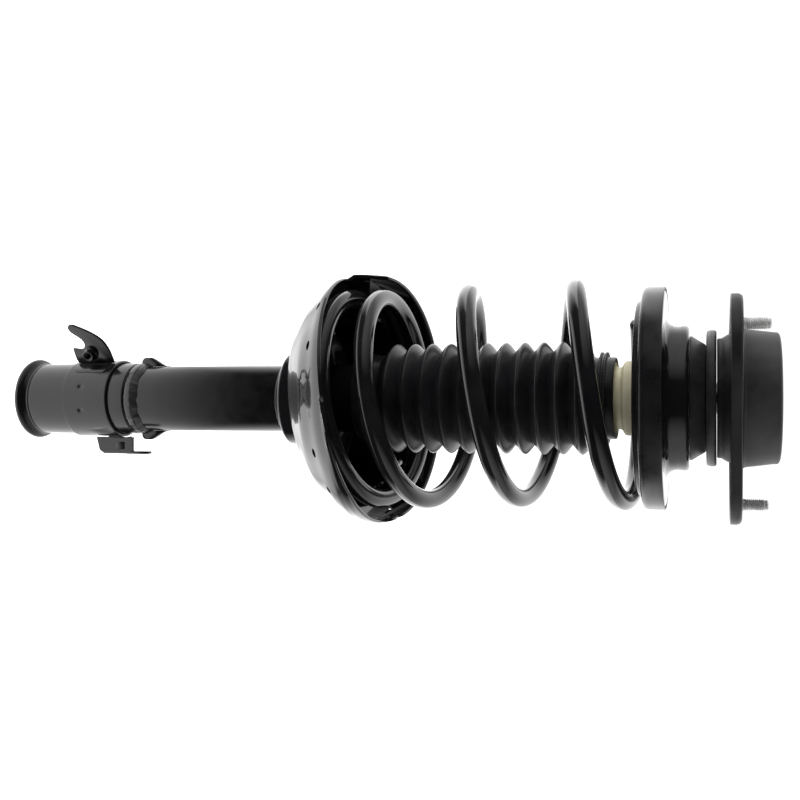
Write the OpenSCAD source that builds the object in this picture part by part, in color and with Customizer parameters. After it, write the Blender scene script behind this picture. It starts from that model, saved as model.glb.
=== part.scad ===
// MacPherson strut assembly: a twin-tube damper with its spring, bump stop, dust boot and top mount.
// The strut axis is Z, +Z points up to the car body, and the origin is the centre of the mount
// plate's top face. All heights are measured from that face, so most of them are negative.

/* [Reserve tube and knuckle sleeve] */
// Outside diameter of the damper's reserve tube
tube_d = 51; // [50:0.5:52]
// Wall thickness of the reserve tube
tube_wall = 2.5; // [2:0.1:3]
// Height of the reserve tube's rolled top edge
tube_top = -225; // [-230:1:-224]
// Height of the reserve tube's bottom edge
tube_bottom = -538; // [-545:1:-530]
// Outside diameter of the sleeve that the wheel knuckle clamps
sleeve_d = 57; // [56.5:0.5:58]
// Height of the sleeve's top edge, at the weld
sleeve_top = -461.5; // [-466:0.5:-460]
// Height of the sleeve's open bottom end
sleeve_bottom = -559; // [-562:1:-556]
// Outside radius of the rolled lip at the sleeve's bottom end
lip_r = 32.6; // [31:0.1:34]
// Height of the rolled lip
lip_h = 5.5; // [4:0.5:7]
// Depth of the flared mouth inside the lip
mouth_h = 9; // [6:1:12]
// Height of the weld bead above the sleeve
sleeve_weld_h = 11.5; // [8:0.5:13]
// Thickness of the weld bead on the tube
sleeve_weld_t = 3.4; // [2:0.1:4]
// Length of the two locating fins
fin_len = 24; // [18:1:28]
// Height that the locating fins stand off the tube
fin_h = 7.6; // [5:0.2:9]
// Thickness of the locating fins
fin_t = 6; // [4:0.5:7]
// Height of the locating fins' lower end
fin_bottom = -459.5; // [-461:0.5:-458]

/* [Clamp band and brackets] */
// Thickness of the bracket sheet
sheet_t = 2.2; // [1.8:0.1:2.6]
// Height of the band's lower edge
band_bottom = -516; // [-520:1:-512]
// Height of the band's upper edge
band_top = -476; // [-480:1:-472]
// Direction of the hose ear's root on the band, in degrees from +X towards +Y
ear_dir = 202; // [195:1:210]
// Lean of the hose ear from straight out, in degrees
ear_lean = 30; // [20:1:35]
// Distance that the hose ear's tip stands out from its root
ear_reach = 34; // [30:0.5:36]
// Height of the hose ear's tip
ear_tip_z = -511; // [-514:1:-509]
// Radius of the round end of the hose ear's open slot
slot_r = 5; // [4:0.5:5.5]
// Radius of the threaded hole in the hose ear's weld nut
hose_hole_r = 3; // [2.5:0.1:3.2]
// Radius across the corners of the hose ear's weld nut
hose_nut_r = 6; // [5.5:0.1:6.4]
// Thickness of the hose ear's weld nut
hose_nut_t = 6; // [4:0.5:7]
// Distance of the harness bracket's outer edge from the strut axis
harness_reach = 44.5; // [44:0.5:48]
// Height of the harness bracket's lower edge
harness_bottom = -497; // [-499:1:-495]
// Height of the harness bracket's upper edge
harness_top = -464; // [-466:1:-463]
// Depth of the harness bracket's channel
harness_depth = 20; // [16:1:22]
// Width and height of the harness bracket's clip window
harness_window = [6, 8]; // [3:0.5:9]
// Length of the tab at the harness bracket's outer upper corner
harness_tab = 13; // [8:1:14]

/* [Lower spring seat] */
// Outside radius of the seat's rim
pan_r = 93.7; // [92:0.1:95]
// Thickness of the seat's sheet
pan_t = 2.6; // [2.2:0.1:3]
// Height of the seat's flat bottom
pan_bottom = -320; // [-322:1:-318]
// Height of the near rim, under the first coil, at the hose ear's side
near_rim_low = -283; // [-286:1:-280]
// Height of the near rim at the harness bracket's side
near_rim_high = -255; // [-258:1:-252]
// Rise of the near rim's plane towards the near side
near_rim_rise = -2; // [-6:1:4]
// Height of the far rim at the hose ear's side
far_rim_low = -258; // [-262:1:-254]
// Height of the far rim at the harness bracket's side
far_rim_high = -248; // [-252:1:-244]
// Rise of the far rim's plane towards the far side
far_rim_rise = 21; // [16:1:24]
// Number of oval drain holes round the wall
pan_holes = 12; // [8:1:14]
// Width of a drain hole
pan_hole_w = 6; // [4:0.5:8]
// Outside radius of the collar's lip under the seat
collar_r = 35.6; // [33:0.1:38]
// Height of the collar's lower edge
collar_bottom = -331; // [-334:1:-329]
// Thickness of the weld bead under the collar
collar_weld_t = 3; // [2:0.1:4]

/* [Coil spring] */
// Radius of the coil at the middle of the wire
coil_r = 75; // [74:0.2:76]
// Diameter of the spring wire
wire_d = 14; // [12:0.1:14]
// Height of the wire's middle at its lower end, before the seat's tilt
coil_bottom = -271.1; // [-273:0.1:-270]
// Direction of the wire's lower end, in degrees from +X towards +Y
coil_start = 175; // [170:5:190]
// Number of turns of the coil
coil_turns = 3.9; // [3.8:0.05:3.9]
// Rise of the free coils, in mm for each turn
coil_pitch = 73.5; // [73:0.1:73.6]
// Height by which the seat's tilt lifts or drops the first coil
coil_tilt = 12; // [8:0.5:13]
// Direction in which the seat's tilt lifts the first coil, in degrees
coil_tilt_dir = 50; // [30:5:70]
// Distance that the free coils lean towards the hose ear's side
coil_lean = 3.2; // [0:0.2:3.6]

/* [Boot and bump stop] */
// Outside radius of the boot's ridges
boot_ridge_r = 40.4; // [39:0.1:42]
// Outside radius of the boot's valleys
boot_valley_r = 33; // [32:0.1:34]
// Distance from one boot ridge to the next
boot_pitch = 13.7; // [13:0.1:14]
// Number of boot ridges
boot_ridges = 11; // [9:1:11]
// Height of the highest boot ridge
boot_first = -107.5; // [-109:0.5:-107]
// Wall thickness of the boot
boot_t = 1.5; // [1.2:0.1:2]
// Outside radius of the boot's plain lower end
skirt_r = 32; // [31:0.1:32.5]
// Height of the boot's lower edge
boot_bottom = -272; // [-276:0.5:-264]
// Outside radius of the boot's upper cuff
cuff_r = 29; // [28.5:0.1:29.5]
// Height of the boot's upper end
boot_top = -84; // [-85:0.5:-83]
// Outside radius of the tie band round the cuff
tie_r = 32.8; // [32:0.1:34]
// Outside radius of the bump stop's collar
bump_r = 26.2; // [25.5:0.1:26.4]
// Outside radius of the bump stop's neck
bump_neck_r = 21.8; // [20:0.1:23]
// Height of the bump stop's lower end
bump_bottom = -135; // [-136:1:-130]

/* [Upper spring seat and bearing] */
// Outside radius of the rubber isolator
isolator_r = 77.4; // [76:0.1:79]
// Height of the isolator's lower face
isolator_bottom = -65; // [-65:0.5:-64]
// Depth of the isolator's lip inside the last coil
isolator_lip = 4; // [0:0.5:5]
// Outside radius of the upper spring seat's pan
upper_pan_r = 76; // [74:0.5:77]
// Outside radius of the upper spring seat's crown
crown_r = 50; // [48:0.5:52]
// Height of the upper spring seat's crown
crown_top = -34; // [-36:0.5:-33]
// Radius of the bearing's ball circle
ball_circle_r = 33; // [32:0.5:34]
// Diameter of a bearing ball
ball_d = 5; // [4:0.5:5]
// Number of bearing balls
balls = 24; // [16:2:28]
// Outside radius of the bearing's upper race
race_r = 46.7; // [45:0.1:48]

/* [Top mount] */
// Distance of the mounting studs from the strut axis
stud_circle_r = 72.5; // [72:0.5:74]
// Direction of the first stud, in degrees from +X towards +Y
stud_dir = -10.5; // [-180:0.5:180]
// Diameter of the mounting studs
stud_d = 8; // [8:1:10]
// Height that the studs stand above the plate
stud_h = 16.5; // [14:0.5:22]
// Distance of the plate's lobe centres from the strut axis
lobe_out = 52; // [50:0.5:54]
// Radius of the plate's lobes
lobe_r = 34; // [32:0.5:35]
// Thickness of the plate
plate_t = 3; // [2.5:0.1:3.5]
// Depth of the plate's folded rim
plate_rim_h = 8; // [6:0.5:9]
// Outside radius of the cup where it meets the plate
cup_base_r = 47.9; // [47:0.1:49]
// Outside radius of the cup's top edge
cup_top_r = 43.5; // [42:0.1:45]
// Height of the cup above the plate
cup_h = 24.4; // [22:0.2:26]
// Radius of the opening in the cup's top
cup_hole_r = 20; // [18:0.5:22]

/* [Piston rod and inner damper] */
// Diameter of the piston rod
rod_d = 22; // [20:0.5:22]
// Diameter of the rod's threaded top end
rod_thread_d = 14; // [12:1:14]
// Height of the rod's shoulder, under the mount's core
rod_shoulder = -13; // [-13.5:0.5:-12.5]
// Bore of the pressure tube
bore_d = 32; // [30:0.5:32]
// Wall thickness of the pressure tube
bore_wall = 1.5; // [1:0.1:2]
// Height of the piston's lower face
piston_bottom = -300; // [-310:1:-296]
// Length of the piston
piston_h = 16; // [14:1:20]

/* [Hidden] */
$fn = 96;
coarse = 32;            // facets of a shape that is rounded by a hull
cut = 1;                // how far a cutting shape runs past what it cuts
near = 0.1;             // gap between nested pieces of one body
clear = 0.4;            // gap between pieces of different bodies
running = 0.06;         // radial clearance of a running fit

tube_r = tube_d / 2;
sleeve_r = sleeve_d / 2;
band_r = sleeve_r + sheet_t;
rod_r = rod_d / 2;
rod_thread_r = rod_thread_d / 2;
bore_r = bore_d / 2;
inner_tube_r = tube_r - tube_wall;
wire_r = wire_d / 2;
stud_r = stud_d / 2;
ball_r = ball_d / 2;

// A plain ring about the strut axis
module ring(r_in, r_out, z0, z1) {
    translate([0, 0, z0]) difference() {
        cylinder(h = z1 - z0, r = r_out);
        translate([0, 0, -cut]) cylinder(h = z1 - z0 + 2 * cut, r = r_in);
    }
}

// A solid of revolution about the strut axis, from points of radius and height
module turned(points) {
    rotate_extrude() polygon(points);
}

hose_out = ear_reach * 0.25;    // place of the weld nut on the ear
hose_z = ear_tip_z + 14;

// ---- Lower end ----

module knuckle_sleeve() {
    r_in = tube_r + near;
    flare_r = lip_r - sheet_t - near;
    bevel = 1;          // bevel at the lip's outer corners
    color("#1c1c1d") turned([
        [r_in, sleeve_top], [sleeve_r, sleeve_top], [sleeve_r, sleeve_bottom + lip_h + sheet_t],
        [sleeve_r + sheet_t / 2, sleeve_bottom + lip_h], [lip_r - bevel, sleeve_bottom + lip_h - bevel],
        [lip_r, sleeve_bottom + lip_h / 2], [lip_r - bevel, sleeve_bottom],
        [flare_r, sleeve_bottom], [r_in, sleeve_bottom + mouth_h]]);
}

module reserve_tube() {
    roll = 3;           // how far the top edge is rolled in over the seal
    color("#1a1a1b") turned([
        [inner_tube_r, tube_bottom], [tube_r, tube_bottom], [tube_r, tube_top - roll],
        [tube_r - roll, tube_top], [inner_tube_r - roll, tube_top],
        [inner_tube_r - roll, tube_top - tube_wall], [inner_tube_r, tube_top - tube_wall]]);
}

module sleeve_weld() {
    z0 = sleeve_top + near;
    slope = 2;          // height of the bead's slope onto the sleeve
    belly = 0.6;        // share of the height up to which the bead is at its full thickness
    toe = 1;            // thickness of the bead's upper edge
    color("#242425") turned([
        [tube_r + near, z0], [sleeve_r - near, z0], [tube_r + sleeve_weld_t, z0 + slope],
        [tube_r + sleeve_weld_t, z0 + sleeve_weld_h * belly], [tube_r + toe, z0 + sleeve_weld_h],
        [tube_r + near, z0 + sleeve_weld_h]]);
}

module locating_fins() {
    tip = tube_r + fin_h;
    foot = tube_r + sleeve_weld_t + near;
    under = 1;          // how far a fin's foot reaches below its nose
    nose = 3;           // width of the nose's lower bevel
    nose_top = 7;       // height up to which the nose is at its full width
    z = fin_bottom;
    color("#2e2e2f") for (side = [0, 1]) mirror([side, 0, 0])
        rotate([90, 0, 0]) translate([0, 0, -fin_t / 2]) linear_extrude(fin_t) polygon([
            [foot, z - under], [tip - nose, z - under], [tip - under, z + under / 2],
            [tip, z + nose], [tip, z + nose_top], [tube_r + near, z + fin_len],
            [tube_r + near, z + sleeve_weld_h], [foot, z + sleeve_weld_h]]);
}

module clamp_band() {
    color("#181819") ring(sleeve_r + near, band_r, band_bottom, band_top);
}

// Puts a shape drawn as distance out from the ear's root and height onto the leaning ear
module on_ear() {
    root_r = band_r + near + sheet_t / 2;
    translate([root_r * cos(ear_dir), root_r * sin(ear_dir), 0]) rotate([0, 0, 180 + ear_lean])
        rotate([90, 0, 0]) children();
}

// The hose ear is a sheet with a slot that opens downwards
module hose_ear() {
    root_top = band_top - 3.5;
    slot_z = ear_tip_z + 10;
    slot_out = ear_reach * 0.54;
    color("#181819") on_ear() difference() {
        translate([0, 0, -sheet_t / 2]) linear_extrude(sheet_t) polygon([
            [0, band_bottom + 4], [0, root_top], [ear_reach * 0.32, root_top - 1],
            [ear_reach * 0.58, root_top - 3], [ear_reach * 0.76, root_top - 9],
            [ear_reach, ear_tip_z + 5], [ear_reach - 1, ear_tip_z],
            [ear_reach * 0.42, ear_tip_z - 2], [ear_reach * 0.16, ear_tip_z - 2]]);
        hull() for (z = [slot_z - slot_r, ear_tip_z - 3 * slot_r])
            translate([slot_out, z, -sheet_t]) cylinder(h = 2 * sheet_t, r = slot_r, $fn = coarse);
        translate([hose_out, hose_z, -sheet_t]) cylinder(h = 2 * sheet_t, r = hose_hole_r + 2 * near);
    }
}

module hose_nut() {
    color("#2a2a2b") on_ear() translate([hose_out, hose_z, -sheet_t / 2 - near - hose_nut_t])
        difference() {
            cylinder(h = hose_nut_t, r = hose_nut_r, $fn = 6);
            translate([0, 0, -cut]) cylinder(h = hose_nut_t + 2 * cut, r = hose_hole_r);
        }
}

// The harness bracket is a channel on the +X side, open towards the band
module harness_bracket() {
    inner = band_r + near;
    h = harness_top - harness_bottom;
    web_x = harness_reach - sheet_t;
    window_z = harness_top - 11;
    color("#181819") difference() {
        union() {
            translate([web_x, -harness_depth / 2, harness_bottom])
                cube([sheet_t, harness_depth, h]);
            for (side = [0, 1]) mirror([0, side, 0])
                translate([inner, harness_depth / 2 - sheet_t, harness_bottom])
                    cube([harness_reach - inner, sheet_t, h]);
            translate([web_x, -harness_depth / 2, harness_top - cut])
                cube([sheet_t, harness_depth / 2, harness_tab + cut]);
        }
        translate([(inner + harness_reach) / 2, 0, window_z]) cube(
            [harness_window[0], harness_depth + 2 * cut, harness_window[1]], center = true);
    }
}

// ---- Lower spring seat ----

module seat_collar() {
    edge = 1.6;         // rounding of the lower edge
    color("#161617") turned([
        [tube_r + near, collar_bottom], [tube_r + collar_weld_t, collar_bottom],
        [collar_r - edge, collar_bottom + edge], [collar_r, collar_bottom + 2 * edge],
        [collar_r, pan_bottom - near], [tube_r + near, pan_bottom - near]]);
}

module collar_weld() {
    z0 = collar_bottom - collar_weld_t;
    color("#2b2b2c") turned([
        [tube_r + near, z0], [tube_r + collar_weld_t / 2, z0 + near],
        [tube_r + collar_weld_t, collar_bottom - near],
        [tube_r + near, collar_bottom - near]]);
}

// Cuts away everything above a plane, on one side of the strut axis: side is -1 or 1 along Y,
// low and high are the plane's heights at -pan_r and +pan_r, and rise is its climb along that side
module above_rim(low, high, rise, side) {
    span = 4 * pan_r;
    slope_x = atan((high - low) / (2 * pan_r));
    slope_y = atan(rise / pan_r);
    intersection() {
        translate([-span / 2, side < 0 ? -span : 0, pan_bottom]) cube(span);
        translate([0, 0, (low + high) / 2]) rotate([side * slope_y, 0, 0]) rotate([0, -slope_x, 0])
            translate([-span / 2, -span / 2, 0]) cube(span);
    }
}

// The dish's outer profile: shares of the rim's radius, and rises above the flat bottom
floor_edge = [0.5, 0];
slope_low = [0.72, 12];
slope_mid = [0.84, 25];
slope_high = [0.94, 35];
wall_foot = [1, 48];
hole_at = [0.89, 30];
// A point of the profile, moved in and up by the two offsets
function dish(at, in = 0, up = 0) = [pan_r * at[0] - in, pan_bottom + at[1] + up];

// The seat is a deep dish whose wall is trimmed low on the near side and high on the far side
module lower_spring_seat() {
    hub_r = tube_r + near;
    spare = 4;          // wall above the highest point of the trimmed rim
    rim_top = far_rim_high + far_rim_rise + spare;
    bend = 2;           // how far a bend's inside sits above its outside
    hole_tilt = 135;
    color("#121213") difference() {
        turned([
            [hub_r, pan_bottom], dish(floor_edge), dish(slope_low), dish(slope_mid),
            dish(slope_high), dish(wall_foot), [pan_r, rim_top], [pan_r - pan_t, rim_top],
            dish(wall_foot, pan_t, bend / 2), dish(slope_high, pan_t, bend),
            dish(slope_mid, pan_t, bend), dish(slope_low, pan_t, pan_t), dish(floor_edge, 0, pan_t),
            [hub_r, pan_bottom + pan_t]]);
        above_rim(near_rim_low, near_rim_high, near_rim_rise, -1);
        above_rim(far_rim_low, far_rim_high, far_rim_rise, 1);
        for (i = [0 : pan_holes - 1]) rotate([0, 0, (i + 0.5) * 360 / pan_holes])
            translate([dish(hole_at)[0], 0, dish(hole_at)[1]]) rotate([0, hole_tilt, 0])
                cylinder(h = 9 * pan_t, r = pan_hole_w / 2, center = true);
    }
}

// ---- Coil spring ----

coil_ring_step = 10;    // degrees between two rings of the swept wire
coil_sides = 12;
coil_rings = floor(coil_turns * 360 / coil_ring_step);
seat_slope = 0.02;      // rise of the seated end, in mm for each degree
first_slope = 0.09;     // rise of the first coil
end_slope = 0.005;      // rise of the upper end
free_slope = coil_pitch / 360;
lift_off = 200;         // angle at which the wire leaves the seat, and length of its soft bend
free_from = 560;        // angle at which the free coils' full rise starts
flat_from = 1400;       // angle at which the wire levels out for the upper seat
flat_bend = 120;        // length of that bend, in degrees
tilt_end = 1080;        // angle at which the seat's tilt has died out
tilt_fade = 630;        // length of its fading
lean_from = 600;        // angle at which the lean starts
lean_fade = 500;        // length over which the lean grows
// A soft corner: 0 below 0, a slope of 1 above the width w, and a smooth change between
function corner(x, w) = let (u = min(max(x / w, 0), 1)) w * (u * u * u - u * u * u * u / 2)
    + max(x - w, 0);
// Share of the seat's tilt that the wire still has, and of the free coils' lean
function tilt_share(a) = min(max((tilt_end - a) / tilt_fade, 0), 1);
function lean_share(a) = let (u = min(max((a - lean_from) / lean_fade, 0), 1)) u * u * (3 - 2 * u);
// Height of the wire's middle at the angle a, which grows along the wire
function coil_z(a) = coil_bottom + seat_slope * (a - coil_start)
    + (first_slope - seat_slope) * corner(a - lift_off, lift_off)
    + (free_slope - first_slope) * corner(a - free_from, lift_off)
    - (free_slope - end_slope) * corner(a - flat_from, flat_bend)
    + coil_tilt * tilt_share(a) * cos(a - coil_tilt_dir);
function coil_climb(a) = atan((coil_z(a + 1) - coil_z(a - 1)) / (2 * coil_r * PI / 180));
// One point of the wire's surface, at the angle a along the wire and b round it
function wire_point(a, b) =
    let (out = coil_r + wire_r * cos(b), along = -wire_r * sin(b) * sin(coil_climb(a)))
    [out * cos(a) - along * sin(a) - coil_lean * lean_share(a), out * sin(a) + along * cos(a),
     coil_z(a) + wire_r * sin(b) * cos(coil_climb(a))];

module coil_spring() {
    points = [for (i = [0 : coil_rings]) for (k = [0 : coil_sides - 1])
        wire_point(coil_start + i * coil_ring_step, k * 360 / coil_sides)];
    walls = [for (i = [0 : coil_rings - 1]) for (k = [0 : coil_sides - 1])
        let (n = (k + 1) % coil_sides, a = i * coil_sides, b = a + coil_sides)
        [a + k, b + k, b + n, a + n]];
    first = [for (k = [0 : coil_sides - 1]) k];
    last = [for (k = [coil_sides - 1 : -1 : 0]) coil_rings * coil_sides + k];
    color("#141415") polyhedron(points, concat(walls, [first], [last]));
}

// ---- Boot and bump stop ----

// One side of the boot's folded wall: the ridge and valley radii, lowered by an inset
function folds(inset) = [for (i = [0 : boot_ridges - 1]) for (half = [0, 1])
    [(half == 0 ? boot_ridge_r : boot_valley_r) - inset, boot_first - (i + half / 2) * boot_pitch]];
function flipped(list) = [for (i = [len(list) - 1 : -1 : 0]) list[i]];

module boot() {
    cuff_z = boot_first + boot_pitch * 0.6;
    cuff_in = bump_r + 2 * near;
    skirt_top = boot_first - boot_ridges * boot_pitch;
    color("#1d1d1e") turned(concat(
        [[cuff_in, boot_top], [cuff_r, boot_top], [cuff_r, cuff_z]],
        folds(0), [[skirt_r, skirt_top], [skirt_r, boot_bottom], [skirt_r - boot_t, boot_bottom],
        [skirt_r - boot_t, skirt_top]], flipped(folds(boot_t)), [[cuff_in, cuff_z - boot_t / 2]]));
}

module boot_tie() {
    z0 = boot_top - 10.5;
    h = 5;
    rib = 1.5;          // height of each of the tie's two ribs
    groove = 1;         // depth of the groove between the ribs
    ramp = 0.5;         // height of the groove's sloping sides
    color("#232324") turned([
        [cuff_r + near, z0], [tie_r, z0], [tie_r, z0 + rib], [tie_r - groove, z0 + rib + ramp],
        [tie_r - groove, z0 + h - rib - ramp], [tie_r, z0 + h - rib], [tie_r, z0 + h],
        [cuff_r + near, z0 + h]]);
}

// The bump stop has a cone at its lower end, two bellies and waists, and a collar in the boot
module bump_stop() {
    r_in = rod_r + clear + near;
    cone_w = 5;         // width of the cone's flat end
    cone_h = 6;
    belly_h = 5;        // height of a belly, and of its slope up from a waist
    waist = 3.5;        // depth of a waist
    slope = 4;          // height of a slope down to a waist
    collar_h = 18;      // height of the collar that the boot grips
    belly_1 = bump_bottom + cone_h + belly_h;
    belly_2 = belly_1 + 2 * slope;
    top = crown_top - pan_t - near;
    color("#bdb69e") turned([
        [r_in, bump_bottom], [r_in + cone_w, bump_bottom], [bump_neck_r - 1, bump_bottom + cone_h],
        [bump_neck_r, belly_1], [bump_neck_r - waist, belly_1 + slope], [bump_neck_r, belly_2],
        [bump_neck_r, belly_2 + belly_h], [bump_neck_r - waist, belly_2 + belly_h + slope],
        [bump_r, boot_top - collar_h], [bump_r, boot_top], [bump_neck_r, boot_top + near],
        [bump_neck_r, boot_top + belly_h], [bump_r, boot_top + cone_h], [bump_r, top], [r_in, top]]);
}

// ---- Upper spring seat and bearing ----

isolator_in = coil_r - 14;
isolator_h = 15;
shelf_t = 5 + isolator_r - upper_pan_r;     // thickness under the seat's flange

module upper_isolator() {
    z = isolator_bottom;
    bevel = 1.5;
    lip_out = coil_r - wire_r - clear;
    color("#262627") turned([
        [isolator_in, z - isolator_lip], [lip_out, z - isolator_lip], [lip_out, z],
        [isolator_r - bevel, z], [isolator_r, z + bevel], [isolator_r, z + isolator_h],
        [upper_pan_r + near, z + isolator_h], [upper_pan_r + near, z + shelf_t],
        [isolator_in, z + shelf_t]]);
}

module upper_spring_seat() {
    z = isolator_bottom + shelf_t + near;
    hole = rod_r + 2;
    rim_h = 7;          // height of the flange's edge
    edge = 4;           // width and height of the flange's bevel
    groove_w = 5;       // width of the slope at the crown's foot
    crown_h = 11;       // height of the crown above the flange
    bend = 2;           // how far a bend's inside sits below its outside
    color("#131314") turned([
        [upper_pan_r, z], [upper_pan_r, z + rim_h], [upper_pan_r - edge, z + rim_h + edge],
        [crown_r + groove_w, crown_top - crown_h], [crown_r, crown_top - crown_h + bend],
        [crown_r, crown_top - 1], [crown_r - 1, crown_top], [hole, crown_top],
        [hole, crown_top - pan_t], [crown_r - pan_t, crown_top - pan_t],
        [crown_r - pan_t, crown_top - crown_h], [crown_r + groove_w - bend, crown_top - crown_h - bend],
        [upper_pan_r - pan_t, z + rim_h], [upper_pan_r - pan_t, z + near],
        [isolator_in + 1, z + near], [isolator_in + 1, z]]);
}

race_split = -21.5;     // height between the turning and the fixed bearing race

module bearing_lower_race() {
    top = race_split - 2;
    foot_r = 42;        // outside radius of the race's cone at its foot
    cone = 5;           // how far the cone runs in
    bore = rod_r + 3;
    hub = 4;            // height of the hub
    land = 6;           // width of the land beside the ball groove
    color("#202021") difference() {
        turned([
            [bore, crown_top + near], [foot_r, crown_top + near], [foot_r - cone, top],
            [ball_circle_r - land, top], [bore, crown_top + hub]]);
        translate([0, 0, race_split]) rotate_extrude() translate([ball_circle_r, 0])
            circle(r = ball_r + near);
    }
}

module bearing_balls() {
    color("#c4c6c8") for (i = [0 : balls - 1]) rotate([0, 0, i * 360 / balls])
        translate([ball_circle_r, 0, race_split]) sphere(r = ball_r, $fn = coarse);
}

module bearing_upper_race() {
    bottom = race_split + 0.5;
    top = -16.6;
    bore = rod_r + 12;
    bevel = 0.8;
    skirt = 2.3;        // how far the skirt round the bearing reaches below the race
    skirt_t = 4;
    color("#1b1b1c") difference() {
        turned([
            [bore, top], [race_r - bevel, top], [race_r, top - bevel],
            [race_r, bottom - skirt + bevel], [race_r - bevel, bottom - skirt],
            [race_r - skirt_t, bottom - skirt], [race_r - skirt_t - 1, bottom], [bore, bottom]]);
        translate([0, 0, race_split]) rotate_extrude() translate([ball_circle_r, 0])
            circle(r = ball_r + clear / 2);
    }
}

// ---- Top mount ----

knurl = 0.4;            // how far a stud's knurled neck stands out, inside the plate
plate_hole_r = cup_base_r - 4;

// The plate's outline: three round lobes, each under a stud, drawn smaller by an inset
module plate_outline(inset) {
    hull() for (i = [0 : 2]) rotate([0, 0, stud_dir + i * 120]) translate([lobe_out, 0])
        circle(r = lobe_r - inset, $fn = $fn);
}

module mount_plate() {
    color("#171718") difference() {
        translate([0, 0, -plate_rim_h]) linear_extrude(plate_rim_h) plate_outline(0);
        translate([0, 0, -plate_rim_h - cut]) linear_extrude(plate_rim_h - plate_t + cut)
            plate_outline(plate_t);
        translate([0, 0, -plate_rim_h]) cylinder(h = plate_rim_h + cut, r = plate_hole_r);
        for (i = [0 : 2]) rotate([0, 0, stud_dir + i * 120]) translate([stud_circle_r, 0, -plate_t - cut])
            cylinder(h = plate_t + 2 * cut, r = stud_r + knurl + near);
    }
}

module mount_studs() {
    head_r = 6.5;
    head_h = 2.5;
    tip = 1;
    bottom = -plate_t - near;
    color("#b4b6b9") for (i = [0 : 2]) rotate([0, 0, stud_dir + i * 120])
        translate([stud_circle_r, 0, 0]) turned([
            [0, bottom - head_h], [head_r, bottom - head_h], [head_r, bottom],
            [stud_r + knurl, bottom], [stud_r + knurl, 0], [stud_r, knurl],
            [stud_r, stud_h - tip], [stud_r - tip, stud_h], [0, stud_h]]);
}

core_r = 18;            // radius of the mount's steel core
core_top = 12;          // height of the core's upper face

module mount_rubber() {
    cup_in = plate_hole_r - near;
    foot_r = 41;        // outside radius of the rubber's foot on the bearing
    foot = -16.4;       // height of the foot
    foot_t = 3;
    arch = 8;           // height and width of the hollow round the core's top
    color("#222223") turned([
        [core_r + near, -12], [foot_r, foot], [foot_r, foot + foot_t], [cup_in, -plate_rim_h - 1],
        [cup_in, -1], [cup_top_r - 4, cup_h - 5], [core_r + 14, cup_h - 7], [core_r + arch, arch],
        [core_r + near, core_top - foot_t]]);
}

module mount_core() {
    color("#8a8c8f") difference() {
        translate([0, 0, rod_shoulder + near]) cylinder(h = core_top - rod_shoulder - near, r = core_r);
        translate([0, 0, rod_shoulder - cut])
            cylinder(h = core_top - rod_shoulder + 2 * cut, r = rod_thread_r + near);
    }
}

module mount_cup() {
    wall = 2.6;
    edge = 3;
    color("#1f1f20") turned([
        [cup_base_r, near], [cup_top_r + 0.8, cup_h - edge], [cup_top_r - edge, cup_h],
        [cup_hole_r, cup_h], [cup_hole_r, cup_h - wall], [cup_top_r - wall - 1, cup_h - wall],
        [cup_base_r - wall - 0.5, near]]);
}

// ---- Piston rod and inner damper ----

spigot_r = 6;           // radius of the rod's lower spigot, which carries the piston
piston_top = piston_bottom + piston_h;
nut_h = 9;

module piston_rod() {
    color("#d5d7da") union() {
        translate([0, 0, piston_top]) cylinder(h = rod_shoulder - piston_top, r = rod_r);
        translate([0, 0, piston_bottom - nut_h - 2])
            cylinder(h = nut_h + piston_h + 2 + cut, r = spigot_r);
        translate([0, 0, rod_shoulder - cut])
            cylinder(h = core_top + 11.5 - rod_shoulder + cut, r = rod_thread_r);
    }
}

module rod_washer() {
    color("#9a9ca0") ring(rod_thread_r + near, core_r - 1, core_top + near, core_top + 2.5);
}

module rod_nut() {
    corner_r = 12.2;    // radius across the corners of an M14 nut
    h = 8;
    color("#a9abae") translate([0, 0, core_top + 2.6]) difference() {
        cylinder(h = h, r = corner_r, $fn = 6);
        translate([0, 0, -cut]) cylinder(h = h + 2 * cut, r = rod_thread_r + near);
    }
}

module rebound_stop() {
    top = tube_top - 28;
    color("#3a3a38") ring(rod_r + near, bore_r - 1.5, top - 8, top);
}

module piston() {
    band_h = piston_h - 6;
    color("#6f7073") difference() {
        ring(spigot_r + near, bore_r - 0.5, piston_bottom, piston_top - near);
        ring(bore_r - 1.6, bore_r + cut, piston_bottom + 3, piston_bottom + 3 + band_h);
    }
}

module piston_band() {
    color("#4a3f33")
        ring(bore_r - 1.5, bore_r - running, piston_bottom + 3 + near, piston_top - 3 - near);
}

module piston_nut() {
    color("#8f9194") translate([0, 0, piston_bottom - nut_h - near]) difference() {
        cylinder(h = nut_h, r = 10, $fn = 6);
        translate([0, 0, -cut]) cylinder(h = nut_h + 2 * cut, r = spigot_r + near);
    }
}

module pressure_tube() {
    color("#7a7c80") ring(bore_r, bore_r + bore_wall, tube_bottom + 14, tube_top - 18);
}

module base_cap() {
    color("#28282a") turned([
        [0, tube_bottom - 3], [inner_tube_r - 5, tube_bottom], [inner_tube_r - near, tube_bottom],
        [inner_tube_r - near, tube_bottom + 5], [inner_tube_r - 4, tube_bottom + 3],
        [0, tube_bottom]]);
}

module base_valve() {
    foot = tube_bottom + 6;
    seat = tube_bottom + 14 - near;
    color("#85878a") turned([
        [0, foot], [bore_r + bore_wall, foot], [bore_r + bore_wall, seat], [bore_r - near, seat],
        [bore_r - near, seat + 10], [0, seat + 10]]);
}

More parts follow.
